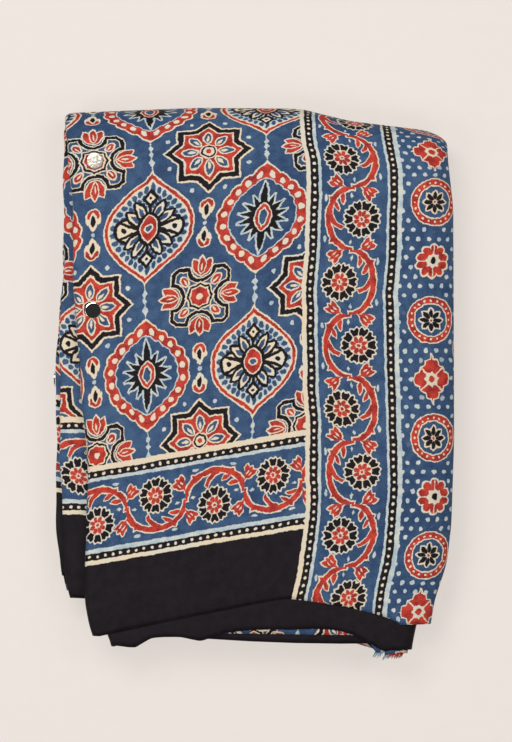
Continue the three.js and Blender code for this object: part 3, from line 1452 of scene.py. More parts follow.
@dataclass(frozen=True)
class SilveredGlass:
    """Finish of the sewn mirrors: thin silvered glass, a little wavy and foxed.

    Flakes and waves have their waves in a metre and their octaves.
    """

    silver: Triple = (0.86, 0.85, 0.80)
    foxed: Triple = (0.42, 0.37, 0.28)
    radius: float = 8.5
    curl: float = 0.35
    flakes: Pair = (420.0, 3.0)
    flake_edge: Pair = (0.50, 0.14)
    flake_roughness: float = 0.2
    waves: Pair = (300.0, 2.0)
    wave: float = 0.5

    def material(self, name: str, middle: Sequence[float], wavy: float, dull: float) -> bpy.types.Material:
        """Makes the material of one mirror, whose face curls down by the eighth power towards its rim.

        Args:
            name: Name of the material.
            middle: Middle of the mirror in metres.
            wavy: How uneven the glass is.
            dull: How rough it is.

        Returns:
            The material.
        """
        well = Inkwell(name)
        ends = {0: well.place(), 1: tuple(middle)}
        apart = well.node("ShaderNodeVectorMath", {"operation": "DISTANCE"}, ends).outputs["Value"]
        out = Ink(well, apart) * (1.0 / (self.radius * MM))
        fourth = out * out * out * out
        worn = (1.0 - well.grain(*self.flakes)).below(*self.flake_edge) * wavy
        height = well.grain(*self.waves) * (self.wave * wavy) - fourth * fourth * self.curl
        return well.dressed(
            {
                "Base Color": well.hue(self.silver).over(worn, self.foxed),
                "Metallic": 1.0,
                "Roughness": worn * self.flake_roughness + dull,
                "Normal": well.bump(height, 1.0, MM),
            }
        )


@dataclass(frozen=True)
class Table:
    """Short table of numbers, read with rounded corners between its rows.

    The first column is the place, and the others are read at a place.
    """

    columns: tuple[str, ...]
    rows: tuple[tuple[float, ...], ...]
    blur: float = 9.0
    samples: int = 7

    def column(self, name: str) -> np.ndarray:
        """Whole column in the order of its rows."""
        return np.array(self.rows, float)[:, self.columns.index(name)]

    def read(self, name: str, place: np.ndarray) -> np.ndarray:
        """Reads a column at many places.

        Args:
            name: Name of the column.
            place: The places.

        Returns:
            The values, averaged over a short stretch so that corners are round.
        """
        order = np.argsort(self.column(self.columns[0]))
        at, value = self.column(self.columns[0])[order], self.column(name)[order]
        shifts = np.linspace(-self.blur, self.blur, self.samples)
        return np.mean([np.interp(place + shift, at, value) for shift in shifts], axis=0)


def smoothstep(start: float, end: float, value: np.ndarray) -> np.ndarray:
    """Soft step from 0 at one place to 1 at another.

    Args:
        start: Where it leaves 0.
        end: Where it reaches 1.
        value: The places.

    Returns:
        The step, 3 k^2 - 2 k^3 of the share k between the two.
    """
    share = np.clip((value - start) / (end - start), 0.0, 1.0)
    return share * share * (3.0 - 2.0 * share)


def lengths(points: np.ndarray, axis: int) -> np.ndarray:
    """Lengths of the steps from each point to the one before it along an axis, the first being 0."""
    before = np.take(points, [0], axis=axis)
    return np.linalg.norm(np.diff(points, axis=axis, prepend=before), axis=-1)


@dataclass(frozen=True)
class Stations:
    """Places along the cloth, one number each in every field."""

    share: np.ndarray
    fold: np.ndarray
    panel: np.ndarray
    start: np.ndarray
    end: np.ndarray
    right: np.ndarray

    @property
    def along(self) -> np.ndarray:
        """Panels passed since the first end, a fold counting as the end of its panel."""
        return self.panel + np.where(self.fold, 1.0, self.share)

    @property
    def seat(self) -> np.ndarray:
        """Place in the stack that settles the sides at each station."""
        return np.minimum(self.start, self.end)

    @property
    def top(self) -> np.ndarray:
        """Whether each station lies on the top panel."""
        return (self.start == 0) & ~self.fold


@dataclass(frozen=True)
class Rows:
    """Places up the cloth, one number each in every field."""

    lower: np.ndarray
    turning: np.ndarray
    share: np.ndarray
    turn: np.ndarray


@dataclass(frozen=True)
class Ripple:
    """Uneven stretch of one panel's upper hem."""

    panel: int
    lift: Table


@dataclass(frozen=True)
class FoldedSheet:
    """Long cloth whose length is halved four times, and then folded over its far edge.

    Sizes are millimetres. The section has sixteen flat panels joined by nested folds, and it is swept
    from the lower hem round the last fold to the upper hem. Fold steps pair the places that a fold
    spans in the stack with the steps of its arc. A wobble of the left edges has its height, its wave
    length and its shift from one bundle of folds to the next. The lower hems' bow has its depth, the
    share at which it peaks and the power that rounds it, as the columns of the hems have. Pads are the
    places of the two mirrors on top, the upper one first.
    """

    sheet: float = 1.25
    pitch: float = 1.7
    inner_turn: float = 1.0
    halvings: int = 4
    right_stretch: float = 2.6
    left_stretch: float = 1.3
    cloth_thickness: float = 0.5
    front_steps: int = 96
    flat_steps: int = 6
    ripple_steps: int = 3
    fold_steps: tuple[tuple[int, ...], tuple[int, ...]] = ((1, 3, 5, 15), (5, 6, 8, 18))
    lower_steps: int = 14
    turn_steps: int = 16
    upper_steps: int = 98
    top_edge: Table = Table(
        ("at", "edge"),
        ((-210, 284), (-60, 290), (48, 289), (100, 276), (215, 262)),
    )
    right_edge: Table = Table(
        ("at", "edge", "inner"),
        (
            (262, 204, 204),
            (208, 210, 208),
            (-50, 211, 208),
            (-146, 208, 202),
            (-190, 203, 195),
            (-230, 190, 183),
            (-256, 186, 175),
            (-283, 182, 170),
        ),
    )
    left_edge: Table = Table(
        ("at", "eight", "six", "four", "last"),
        (
            (285, -200, -200, -203, -202),
            (190, -193, -193, -202, -201),
            (117, -191, -191, -203, -204),
            (64, -189, -189, -206, -209),
            (0, -184, -184, -207, -211),
            (-72, -177, -177, -206, -211),
            (-167, -178, -177, -203, -210),
            (-198, -178, -176, -201, -207),
            (-229, -181, -171, -196, -200),
            (-262, -174, -160, -184, -186),
            (-283, -167, -153, -174, -176),
        ),
    )
    lower_left_edge: Table = Table(
        ("at", "edge"),
        ((285, -203), (100, -205), (-150, -206), (-200, -202), (-229, -194), (-275, -153)),
    )
    lower_left_step: float = 0.4
    bundles: Pair = (8, 12)
    bundle_radii: Triple = (3.5, 1.5, 0.5)
    wobbles: tuple[Triple, ...] = ((0.8, 23.0, 2.1), (0.5, 9.5, 1.0))
    hems: Table = Table(
        ("panel", "upper", "lower", "bow", "peak", "round"),
        (
            (0, -222, -224, 6, 0.5, 2),
            (1, -256, -250, 32, 0.38, 1.15),
            (2, -268, -226, 4, 0.5, 2),
            (3, -262, -270, 5, 0.5, 2),
            (4, -229, -225, 3, 0.5, 2),
            (5, -265, -268, 8, 0.5, 2),
            (6, -262, -228, -5, 0.5, 2),
            (7, -276, -271, 3, 0.5, 2),
            (8, -206, -222, 4, 0.5, 2),
            (9, -287, -269, 16, 0.1, 2),
            (10, -264, -227, 4, 0.5, 2),
            (11, -266, -272, 6, 0.5, 2),
            (12, -224, -221, 5, 0.5, 2),
            (13, -268, -267, 9, 0.85, 2),
            (14, -279, -229, 21, 0.7, 2),
            (15, -283, -270, 6, 0.5, 2),
            (16, -215, -225, 0, 0.5, 2),
        ),
        blur=0.0,
    )
    lower_bow: Triple = (-22.0, 0.5, 2.0)
    droop: float = 0.9
    droop_reach: float = 6.0
    ripples: tuple[Ripple, ...] = (
        Ripple(
            14,
            Table(
                ("share", "lift"),
                (
                    (0.0, 1.0),
                    (0.067, -1.7),
                    (0.096, 2.5),
                    (0.138, 7.8),
                    (0.184, 7.7),
                    (0.245, 5.9),
                    (0.29, 1.3),
                    (0.316, -1.2),
                    (0.34, 0.0),
                    (0.404, 3.6),
                    (0.504, 3.2),
                    (0.65, -0.5),
                    (0.805, 1.8),
                    (0.872, 0.9),
                    (0.972, -2.4),
                    (1.0, -1.0),
                ),
                blur=0.011,
            ),
        ),
        Ripple(
            9,
            Table(
                ("share", "lift"),
                (
                    (0.0, 0.0),
                    (0.01, -12.0),
                    (0.03, -14.0),
                    (0.045, -11.0),
                    (0.058, -5.0),
                    (0.07, 0.0),
                    (0.13, 1.0),
                    (0.25, 0.0),
                ),
                blur=0.004,
            ),
        ),
    )
    thinning: float = 0.14
    thinning_from: Pair = (178.0, 214.0)
    creases: Table = Table(
        ("x", "y", "slope", "reach", "width", "height"),
        (
            (-152, -60, 0.02, 190, 9, 0.010),
            (-128, -120, -0.03, 120, 7, -0.008),
            (-20, 60, 0.30, 110, 11, 0.006),
            (48, -60, -0.02, 240, 10, 0.012),
            (96, 90, 0.05, 160, 12, -0.008),
            (150, 20, 0.03, 230, 8, 0.010),
            (60, 215, 1.40, 120, 12, 0.009),
        ),
    )
    pads: tuple[Pair, ...] = ((-168.0, 231.0), (-170.0, 74.0))
    pad_rise: float = 0.012
    pad_reach: float = 11.0

    @property
    def panels(self) -> int:
        """Number of flat panels."""
        return 2**self.halvings

    @property
    def outer_turn(self) -> float:
        """Radius of the last fold at the middle of the outermost panel."""
        return self.inner_turn + (self.panels - 1) * self.pitch

    @property
    def mid_height(self) -> float:
        """Height of the plane between the two leaves."""
        return self.outer_turn + self.sheet / 2

    def places(self) -> list[int]:
        """Place of each panel in the stack from the top, folding right over left time and again.

        Returns:
            One place for each panel along the cloth.
        """
        columns = [[panel] for panel in range(self.panels)]
        while len(columns) > 1:
            half = len(columns) // 2
            columns = [columns[-1 - i][::-1] + columns[i] for i in range(half)]
        return [columns[0].index(panel) for panel in range(self.panels)]

    def panel_shares(self, panel: int, place: int) -> np.ndarray:
        """Stations of one flat panel: evenly spaced, with more of them where its hem ripples.

        Args:
            panel: Number of the panel along the cloth.
            place: Its place in the stack.

        Returns:
            Shares of the way across the panel.
        """
        steps = self.front_steps if place == 0 else self.flat_steps
        share = np.linspace(0.0, 1.0, steps + 1)
        for ripple in self.ripples:
            if ripple.panel == panel:
                knots = ripple.lift.column("share")
                last = knots.size - 1
                between = np.linspace(0, last, self.ripple_steps * last + 1)
                share = np.union1d(share, np.interp(between, np.arange(knots.size), knots))
        return share

    def stations(self) -> Stations:
        """Lays out the stations along the cloth.

        Returns:
            A run of flat stations for each panel and an arc of them for each fold.
        """
        places = self.places()
        runs = []
        for panel, place in enumerate(places):
            right = panel % 2 == 0
            share = self.panel_shares(panel, place)
            runs.append(np.stack(np.broadcast_arrays(share, 0, panel, place, place, right)))
            if panel + 1 < self.panels:
                after = places[panel + 1]
                steps = int(np.interp(abs(after - place), *self.fold_steps))
                share = np.linspace(0.0, 1.0, steps + 1)[1:-1]
                runs.append(np.stack(np.broadcast_arrays(share, 1, panel, place, after, right)))
        share, fold, panel, start, end, right = np.concatenate(runs, axis=1)
        return Stations(share, fold > 0.5, panel, start, end, right > 0.5)

    def rows(self) -> Rows:
        """Lays out the rows up the cloth.

        Returns:
            Rows from the lower hem, round the last fold, to the upper hem.
        """
        low = np.linspace(1.0, 0.0, self.lower_steps + 1)
        high = np.linspace(0.0, 1.0, self.upper_steps + 1)
        turn = np.linspace(0.0, math.pi, self.turn_steps + 1)[1:-1]
        counts = (low.size, turn.size, high.size)
        return Rows(
            np.repeat((True, False, False), counts),
            np.repeat((False, True, False), counts),
            np.concatenate((low, turn * 0.0, high)),
            np.concatenate((low * 0.0, turn, high * 0.0 + math.pi)),
        )

    def pile_share(self, x: np.ndarray, y: np.ndarray) -> np.ndarray:
        """Local height of the pile as a share of the full height.

        Args:
            x: Places across.
            y: Places up the pile.

        Returns:
            One less the thinning of the right folds, with soft creases and the mirrors' pads added.
        """
        share = 1.0 - self.thinning * smoothstep(*self.thinning_from, x)
        for at_x, at_y, slope, reach, width, height in self.creases.rows:
            across = (x - at_x - slope * (y - at_y)) / width
            along = (y - at_y) / reach
            share = share + height * np.exp(-across * across - along**4)
        for at_x, at_y in self.pads:
            across, along = (x - at_x) / self.pad_reach, (y - at_y) / self.pad_reach
            share = share + self.pad_rise * np.exp(-(across**4) - along**4)
        return share

    def turn_line(self, x: np.ndarray) -> np.ndarray:
        """Height up the pile at which the last fold begins to turn, at places across."""
        return self.top_edge.read("edge", x) - self.mid_height

    def hem_heights(self, at: Stations) -> tuple[np.ndarray, np.ndarray]:
        """Heights of the two hems at each station, straight between a panel's sides and bowed between.

        Args:
            at: The stations.

        Returns:
            Heights in the lower leaf and in the upper leaf.
        """
        panel = at.panel.astype(int)
        share = np.where(at.fold, 1.0, at.share)
        found = []
        for leaf, bow, peak, arch in (
            ("lower", *self.lower_bow),
            ("upper", *(self.hems.column(name)[panel] for name in ("bow", "peak", "round"))),
        ):
            ends = self.hems.column(leaf)
            bent = share ** (math.log(0.5) / np.log(peak))
            straight = ends[panel] + share * (ends[panel + 1] - ends[panel])
            found.append(straight + bow * (1.0 - np.abs(2.0 * bent - 1.0) ** arch))
        for ripple in self.ripples:
            here = (panel == ripple.panel) & ~at.fold
            found[1] = found[1] + np.where(here, ripple.lift.read("lift", share), 0.0)
        return found[0], found[1]

    def left_centre(self, seat: np.ndarray, height: np.ndarray, upper: np.ndarray) -> np.ndarray:
        """Centre line of the left folds: their edge, moved in by the radius of their bundle.

        In the upper leaf each bundle of folds has its own edge with a slight wobble, and in the lower
        leaf they share one.

        Args:
            seat: Place in the stack of each station.
            height: Height up the pile at each station and row.
            upper: Share of the upper leaf in each row.

        Returns:
            The line at each station and row.
        """
        bundle = np.digitize(seat, self.bundles)
        names = ("eight", "four", "last", "six")
        inner = (seat > 0) & (seat < self.bundles[0] - 1)
        column = np.where(inner, names.index("six"), bundle)
        sides = np.stack([self.left_edge.read(name, height) for name in names])
        side = np.take_along_axis(sides, column[None, :, None], axis=0)[0]
        radius = np.choose(bundle, self.bundle_radii) * self.pitch
        wobble = sum(
            high * np.sin(height / wave + shift * bundle[:, None]) for high, wave, shift in self.wobbles
        )
        low = self.lower_left_edge.read("edge", height) + self.lower_left_step * seat[:, None]
        edge = low + upper * (side + wobble - low)
        return edge + self.left_stretch * radius[:, None] + self.sheet / 2

    def right_centre(self, seat: np.ndarray, height: np.ndarray) -> np.ndarray:
        """Centre line of the right folds, whose inner panels stand back from the outermost fold.

        Args:
            seat: Place in the stack of each station.
            height: Height up the pile at each station and row.

        Returns:
            The line at each station and row.
        """
        outermost = (seat == 0) | (seat == self.panels - 1)
        side = np.where(
            outermost[:, None],
            self.right_edge.read("edge", height),
            self.right_edge.read("inner", height),
        )
        return side - self.right_stretch * (self.panels - 1) / 2 * self.pitch - self.sheet / 2

    def points(self, at: Stations, up: Rows) -> np.ndarray:
        """Points of the sheet's middle surface.

        Across: a share of the way between the side centres on a flat panel, or the fold's centre and
        its stretched radius times the sine of its turn. Up and over: the section's depth turns into a
        radius about the last fold, and away from that fold a share of the way to the hem.

        Args:
            at: Stations along the cloth.
            up: Rows up the cloth.

        Returns:
            Points by station and row, in millimetres.
        """
        low_hem, high_hem = self.hem_heights(at)
        hem = np.where(up.lower, low_hem[:, None], high_hem[:, None])
        begin = float(self.turn_line(np.zeros(1))[0])
        turned = begin + self.outer_turn * np.sin(up.turn)
        height = np.where(up.turning, turned, begin + up.share * (hem - begin))
        left = self.left_centre(at.seat, height, (1.0 - np.cos(up.turn)) / 2)
        right = self.right_centre(at.seat, height)
        share = np.where(at.right, at.share, 1.0 - at.share)[:, None]
        angle = math.pi * at.share
        radius = np.abs(at.end - at.start) * self.pitch / 2
        bulge = (radius * np.sin(angle))[:, None]
        left_fold, right_fold = left - self.left_stretch * bulge, right + self.right_stretch * bulge
        folded = np.where(at.right[:, None], right_fold, left_fold)
        x = np.where(at.fold[:, None], folded, left + share * (right - left))
        middle = (at.start + at.end) * self.pitch / 2
        fold_depth = middle - np.sign(at.end - at.start) * radius * np.cos(angle)
        ring = (self.outer_turn - np.where(at.fold, fold_depth, at.start * self.pitch))[:, None]
        line = self.turn_line(x)
        y = np.where(up.turning, line + ring * np.sin(up.turn), line + up.share * (hem - line))
        z = self.mid_height - ring * np.cos(up.turn)
        from_hem = (1.0 - up.share) * (line - hem)
        sunk = self.droop * np.exp(-((from_hem / self.droop_reach) ** 2))
        droop = np.where(up.turning | up.lower, 0.0, sunk)
        return np.stack((x, y, z * self.pile_share(x, y) - droop), axis=-1)


@dataclass(frozen=True)
class PrintChart:
    """Places of the print on the folded cloth, as coordinates of the unfolded cloth.

    Sizes are millimetres. The first coordinate runs along the cloth and equals the place across the
    pile on the top panel; the second runs up the cloth and equals the place up the pile there. A run
    is the place of a motif and the length that one repeat takes on the cloth.
    """

    layout: Layout = Layout()
    column_line: Table = Table(
        ("t", "s"),
        (
            (288, -110.3),
            (252, -109.5),
            (219, -107.6),
            (161, -111.3),
            (101, -116.0),
            (68, -115.8),
            (8, -114.1),
            (-56, -112.8),
        ),
    )
    column_spacing: float = 111.9
    column_spread: float = 0.0375
    spread_limits: Pair = (-80.0, 290.0)
    near_limits: Pair = (-230.0, 80.0)
    medallion: Pair = (-110.3, 160.3)
    lean: Table = Table(("t", "lean"), ((274, 0.07), (253, 0.09), (164, 0.107), (17, 0.13), (-72, 0.15)))
    lean_limits: Pair = (-200.0, 60.0)
    border_lean: float = 0.174
    border_lean_limits: Pair = (-190.0, 50.0)
    border_lean_from: float = -57.75
    border_run: Pair = (-43.0, 62.2)
    end_run: Pair = (104.0, 66.6)
    panel_run: Pair = (126.0, 61.9)
    end_wander: Table = Table(
        ("t", "shift"),
        (
            (300, -4.0),
            (260, -2.0),
            (227, 3.7),
            (197, 3.7),
            (130, 1.3),
            (95, -1.2),
            (64, -1.0),
            (-8, 0.5),
            (-44, 2.3),
            (-125, 3.4),
            (-165, 0.0),
            (-198, -5.2),
            (-235, -12.0),
        ),
    )
    wander_from: Pair = (-30.0, 40.0)
    hem_width: float = 262.0
    hem_print: Table = Table(
        ("panel", "width"),
        ((8.05, 262), (8.5, 62), (9.6, 62), (9.85, 262)),
        blur=0.0,
    )
    leaning_panels: float = 2.0
    turn_length: float = 84.0
    squeeze: Table = Table(
        ("past", "more"),
        ((-40, 0), (-22, 1), (-7, 5), (8, 11.5), (25, 25), (34, 30), (80, 34)),
        blur=3.0,
    )

    def unrolled(self, points: np.ndarray, front: int, row: int) -> tuple[np.ndarray, np.ndarray]:
        """Lengths along and up the cloth, measured on the folded surface.

        Args:
            points: Points by station and row.
            front: Station in the middle of the top panel.
            row: Row in the middle of the upper leaf.

        Returns:
            The two lengths at each point, which equal x and y at that station and that row.
        """
        along, upward = lengths(points, 0).cumsum(axis=0), lengths(points, 1).cumsum(axis=1)
        s = points[front, :, 0] + along[front] - along
        t = (points[:, row, 1] + upward[:, row])[:, None] - upward
        return s, t

    def charts(
        self, at: Stations, up: Rows, s: np.ndarray, t: np.ndarray, line: np.ndarray
    ) -> tuple[np.ndarray, np.ndarray]:
        """Coordinates of every part's print at every point.

        Round the last fold the lengths are drawn out to one length on every layer, and its bulge draws
        the print together. On the first two panels the print leans as it does in the uppermost folds,
        and away from them it lies straight, measured from the hem.

        Args:
            at: Stations along the cloth.
            up: Rows up the cloth.
            s: Lengths along the cloth.
            t: Lengths up the cloth.
            line: Where the last fold begins to turn.

        Returns:
            The cloth's own coordinates, and those of each part's print, part by part.
        """
        plan = self.layout
        past = int(np.flatnonzero(up.lower)[-1])
        t = t + (line[:, past] + self.turn_length - t[:, past])[:, None] * (1.0 - up.turn / math.pi)
        t = t + self.squeeze.read("more", t - line)
        away = np.clip(at.along - self.leaning_panels, 0.0, 1.0)[:, None]
        s = s + away * (s.mean(axis=1, keepdims=True) - s)
        to_hem = self.hem_print.read("width", at.along)[:, None]
        printed_t = t + away * (-to_hem - t[:, -1:])
        leaning = np.clip(s, *self.border_lean_limits) - self.border_lean_from
        edge = self.border_lean * leaning * (1.0 - away)
        border = np.minimum(printed_t - edge, t[:, :1] - t - self.hem_width)
        end = s - self.end_wander.read("shift", t) * smoothstep(*self.wander_from, s)
        near = np.clip(s, *self.near_limits)
        spacing = self.column_spacing + self.column_spread * np.clip(printed_t, *self.spread_limits)
        columns = (near - self.column_line.read("s", printed_t)) / spacing + (s - near) / self.column_spacing
        leaning = np.clip(s, *self.lean_limits) - self.medallion[0]
        tilt = self.lean.read("lean", printed_t) * leaning * (1.0 - away)
        runs = [
            (place - start) * (period / run)
            for place, (start, run), period in (
                (s, self.border_run, Vine.half_wave),
                (t, self.end_run, Vine.half_wave),
                (t, self.panel_run, Roundels.pitch),
            )
        ]
        charts = {
            Region.FIELD: (Field.column * columns, printed_t - tilt - self.medallion[1]),
            Region.BORDER: (runs[0], border - plan.border_middle),
            Region.HEM: (s, border),
            Region.END_VINE: (runs[1], end - plan.end_vine_middle),
            Region.END_PANEL: (runs[2] + 2.0 * Roundels.pitch, end - plan.end_column),
            Region.RIM: (s, border),
        }
        parts = np.stack([np.stack(charts[region], axis=-1) for region in Region])
        return np.stack((end, border), axis=-1), parts

    def regions(self, cloth: np.ndarray) -> np.ndarray:
        """Part of the print that each face of the grid belongs to.

        Args:
            cloth: The cloth's own coordinates by station and row.

        Returns:
            Material slots of the faces by station and row.
        """
        middle = (cloth[:-1, :-1] + cloth[1:, :-1] + cloth[1:, 1:] + cloth[:-1, 1:]) / 4
        end, border = middle[..., 0], middle[..., 1]
        first, second = self.layout.end_edges
        upper, lower = self.layout.border_edges
        return np.select(
            (end > second, end > first, border > upper, border > lower),
            (Region.END_PANEL.value, Region.END_VINE.value, Region.FIELD.value, Region.BORDER.value),
            Region.HEM.value,
        )


def grid_faces(across: int, up: int) -> np.ndarray:
    """Corners of the faces of a grid of points.

    Args:
        across: Points along the first parameter.
        up: Points along the second.

    Returns:
        Four point numbers for each face.
    """
    first = np.arange(across - 1)[:, None] * up + np.arange(up - 1)[None, :]
    return np.stack((first, first + up, first + up + 1, first + 1), axis=-1).reshape(-1, 4)


def mesh_object(name: str, points: np.ndarray, faces: np.ndarray) -> bpy.types.Object:
    """Makes a smooth mesh object in metres.

    Args:
        name: Name of the object.
        points: Points in metres.
        faces: Corners of its faces.

    Returns:
        The object, linked to the scene.
    """
    mesh = bpy.data.meshes.new(name)
    mesh.from_pydata(points.reshape(-1, 3).tolist(), [], faces.tolist())
    mesh.polygons.foreach_set("use_smooth", np.ones(len(mesh.polygons), bool))
    made = bpy.data.objects.new(name, mesh)
    bpy.context.collection.objects.link(made)
    LOG.info("%s: %d points, %d faces", name, len(mesh.vertices), len(mesh.polygons))
    return made


def write_chart(mesh: bpy.types.Mesh, name: str, corners: np.ndarray) -> None:
    """Adds a UV map.

    Args:
        mesh: The mesh.
        name: Name of the map.
        corners: Two coordinates for each face corner.
    """
    chart = mesh.uv_layers.new(name=name)
    chart.data.foreach_set("uv", np.ascontiguousarray(corners, np.float32).ravel())


@dataclass(frozen=True)
class Cloth:
    """The folded cloth with its print."""

    form: FoldedSheet = FoldedSheet()
    chart: PrintChart = PrintChart()
    finish: PrintedCotton = PrintedCotton()
    cut_edge: Yarn = Yarn("cut_edge", (0.42, 0.36, 0.24), (0.10, 0.09, 0.07), 420.0, 3.0, 0.7, True)
    flat: Pair = (1.143, 6.3)
    hidden_room: float = 0.06
    lower_room: float = 0.08
    bake_margin: float = 0.004

    def build(self, shift: np.ndarray) -> bpy.types.Object:
        """Makes the cloth.

        Args:
            shift: Move from the form's own place to the shared frame, in metres.

        Returns:
            The cloth.
        """
        at, up = self.form.stations(), self.form.rows()
        points = self.form.points(at, up)
        across, rows = points.shape[:2]
        faces = grid_faces(across, rows)
        cloth = mesh_object("folded_cloth", points * MM + shift, faces)
        front = int(np.flatnonzero(at.top)[self.form.front_steps // 2])
        s, t = self.chart.unrolled(points, front, rows - self.form.upper_steps // 2)
        own, parts = self.chart.charts(at, up, s, t, self.form.turn_line(points[..., 0]))
        slots = self.chart.regions(own).ravel()
        flat_parts = parts.reshape(len(Region), -1, 2)
        mesh = cloth.data
        write_chart(mesh, "Print", flat_parts[slots[:, None], faces] * MM)
        write_chart(mesh, "Cloth", own.reshape(-1, 2)[faces] * MM)
        write_chart(mesh, "OFBake", self._bake_chart(at, up, points).reshape(-1, 2)[faces])
        for region in Region:
            rim = region is Region.RIM
            mesh.materials.append(self.cut_edge.material() if rim else self.finish.material(region))
        mesh.polygons.foreach_set("material_index", slots.astype(np.int32))
        thick = cloth.modifiers.new("cloth_thickness", "SOLIDIFY")
        thick.thickness = self.form.cloth_thickness * MM
        thick.offset = 0.0
        thick.material_offset_rim = len(Region)
        return cloth

    def _bake_chart(self, at: Stations, up: Rows, points: np.ndarray) -> np.ndarray:
        """Map of the whole sheet that gives most of its room to the outside of the pile.

        Args:
            at: Stations along the cloth.
            up: Rows up the cloth.
            points: Points by station and row.

        Returns:
            Two coordinates from 0 to 1 at each point.
        """
        outside = (at.seat == 0) & (at.start + at.end < self.form.panels)
        middle, front = points.shape[1] - self.form.upper_steps // 2, int(np.argmax(at.top))
        along = lengths(points[:, middle], 0) * np.where(outside, 1.0, self.hidden_room)
        upward = lengths(points[front], 0) * np.where(up.lower, self.lower_room, 1.0)
        room = 1.0 - 2.0 * self.bake_margin
        u, v = (self.bake_margin + room * part.cumsum() / part.sum() for part in (along, upward))
        return np.stack(np.broadcast_arrays(u[:, None], v[None, :]), axis=-1)


@dataclass(frozen=True)
class FrayedCorner:
    """Loose threads along the hem of the printed corner that shows under the top panels."""

    seed: int = 11
    count: int = 96
    rings: int = 5
    sides: int = 4
    thickness: float = 0.8
    taper: float = 0.6
    sizes: Pair = (3.0, 7.0)
    span: Pair = (127.0, 156.0)
    jitter: float = 0.3
    lean: Pair = (-0.45, 0.18)
    tucked: float = 0.15
    sag: Pair = (-0.05, -0.30)
    red_from: float = 141.0
    panel: int = 9
    fold_from: float = 0.45
    threads: tuple[Yarn, ...] = (
        Yarn("thread_pale", (0.46, 0.60, 0.58), (0.22, 0.30, 0.28)),
        Yarn("thread_blue", (0.10, 0.28, 0.40), (0.03, 0.09, 0.17)),
        Yarn("thread_red", (0.44, 0.02, 0.02), (0.20, 0.01, 0.012)),
    )

    def build(self, form: FoldedSheet, shift: np.ndarray) -> bpy.types.Object:
        """Makes the threads.

        Each is a tapering tube whose middle line leaves the hem, slants to the left and droops.

        Args:
            form: The cloth's form, whose hem the threads leave.
            shift: Move from the form's own place to the shared frame, in metres.

        Returns:
            The threads as one piece.
        """
        at = form.stations()
        hem = form.points(at, form.rows())[:, -1]
        round_fold = (at.panel == self.panel - 1) & at.fold & (at.share > self.fold_from)
        under = round_fold | ((at.panel == self.panel) & ~at.fold)
        path = hem[under][np.argsort(hem[under][:, 0])]
        dice = np.random.default_rng(self.seed)
        x = np.linspace(*self.span, self.count) + dice.uniform(-self.jitter, self.jitter, self.count)
        root = np.stack([x, *(np.interp(x, path[:, 0], path[:, axis]) for axis in (1, 2))], axis=-1)
        size = dice.uniform(*self.sizes, self.count)[:, None, None]
        lean = dice.normal(*self.lean, self.count)[:, None]
        along = np.linspace(0.0, 1.0, self.rings)[None, :]
        sag = self.sag[1] * along**2 + self.sag[0]
        line = np.stack(np.broadcast_arrays(lean * along, self.tucked - along, sag), axis=-1)
        middle = root[:, None, :] + line * size
        angle = np.linspace(0.0, TURN, self.sides, endpoint=False)
        ring = np.stack((np.cos(angle), 0.0 * angle, np.sin(angle)), axis=-1)
        radius = (self.thickness / 2) * (1.0 - self.taper * along)[..., None, None]
        points = middle[:, :, None, :] + ring * radius
        piece = mesh_object("frayed_threads", points * MM + shift, self._faces())
        red = len(self.threads) - 1
        kind = np.where(x > self.red_from, red, dice.integers(0, red, self.count))
        for thread in self.threads:
            piece.data.materials.append(thread.material())
        slots = np.repeat(kind, (self.rings - 1) * self.sides + 1).astype(np.int32)
        piece.data.polygons.foreach_set("material_index", slots)
        return piece

    def _faces(self) -> np.ndarray:
        """Corners of the faces of all the threads: their sides and a cap on each tip.

        Returns:
            Four point numbers for each face.
        """
        ring = np.arange(self.rings - 1)[:, None] * self.sides
        side = np.arange(self.sides)[None, :]
        low, turned = ring + side, ring + (side + 1) % self.sides
        tube = np.stack((low, low + self.sides, turned + self.sides, turned), axis=-1).reshape(-1, 4)
        cap = (self.rings - 1) * self.sides + side[:, ::-1]
        one = np.concatenate((tube, cap))
        each = np.arange(self.count)[:, None, None] * self.rings * self.sides
        return (one[None] + each).reshape(-1, 4)


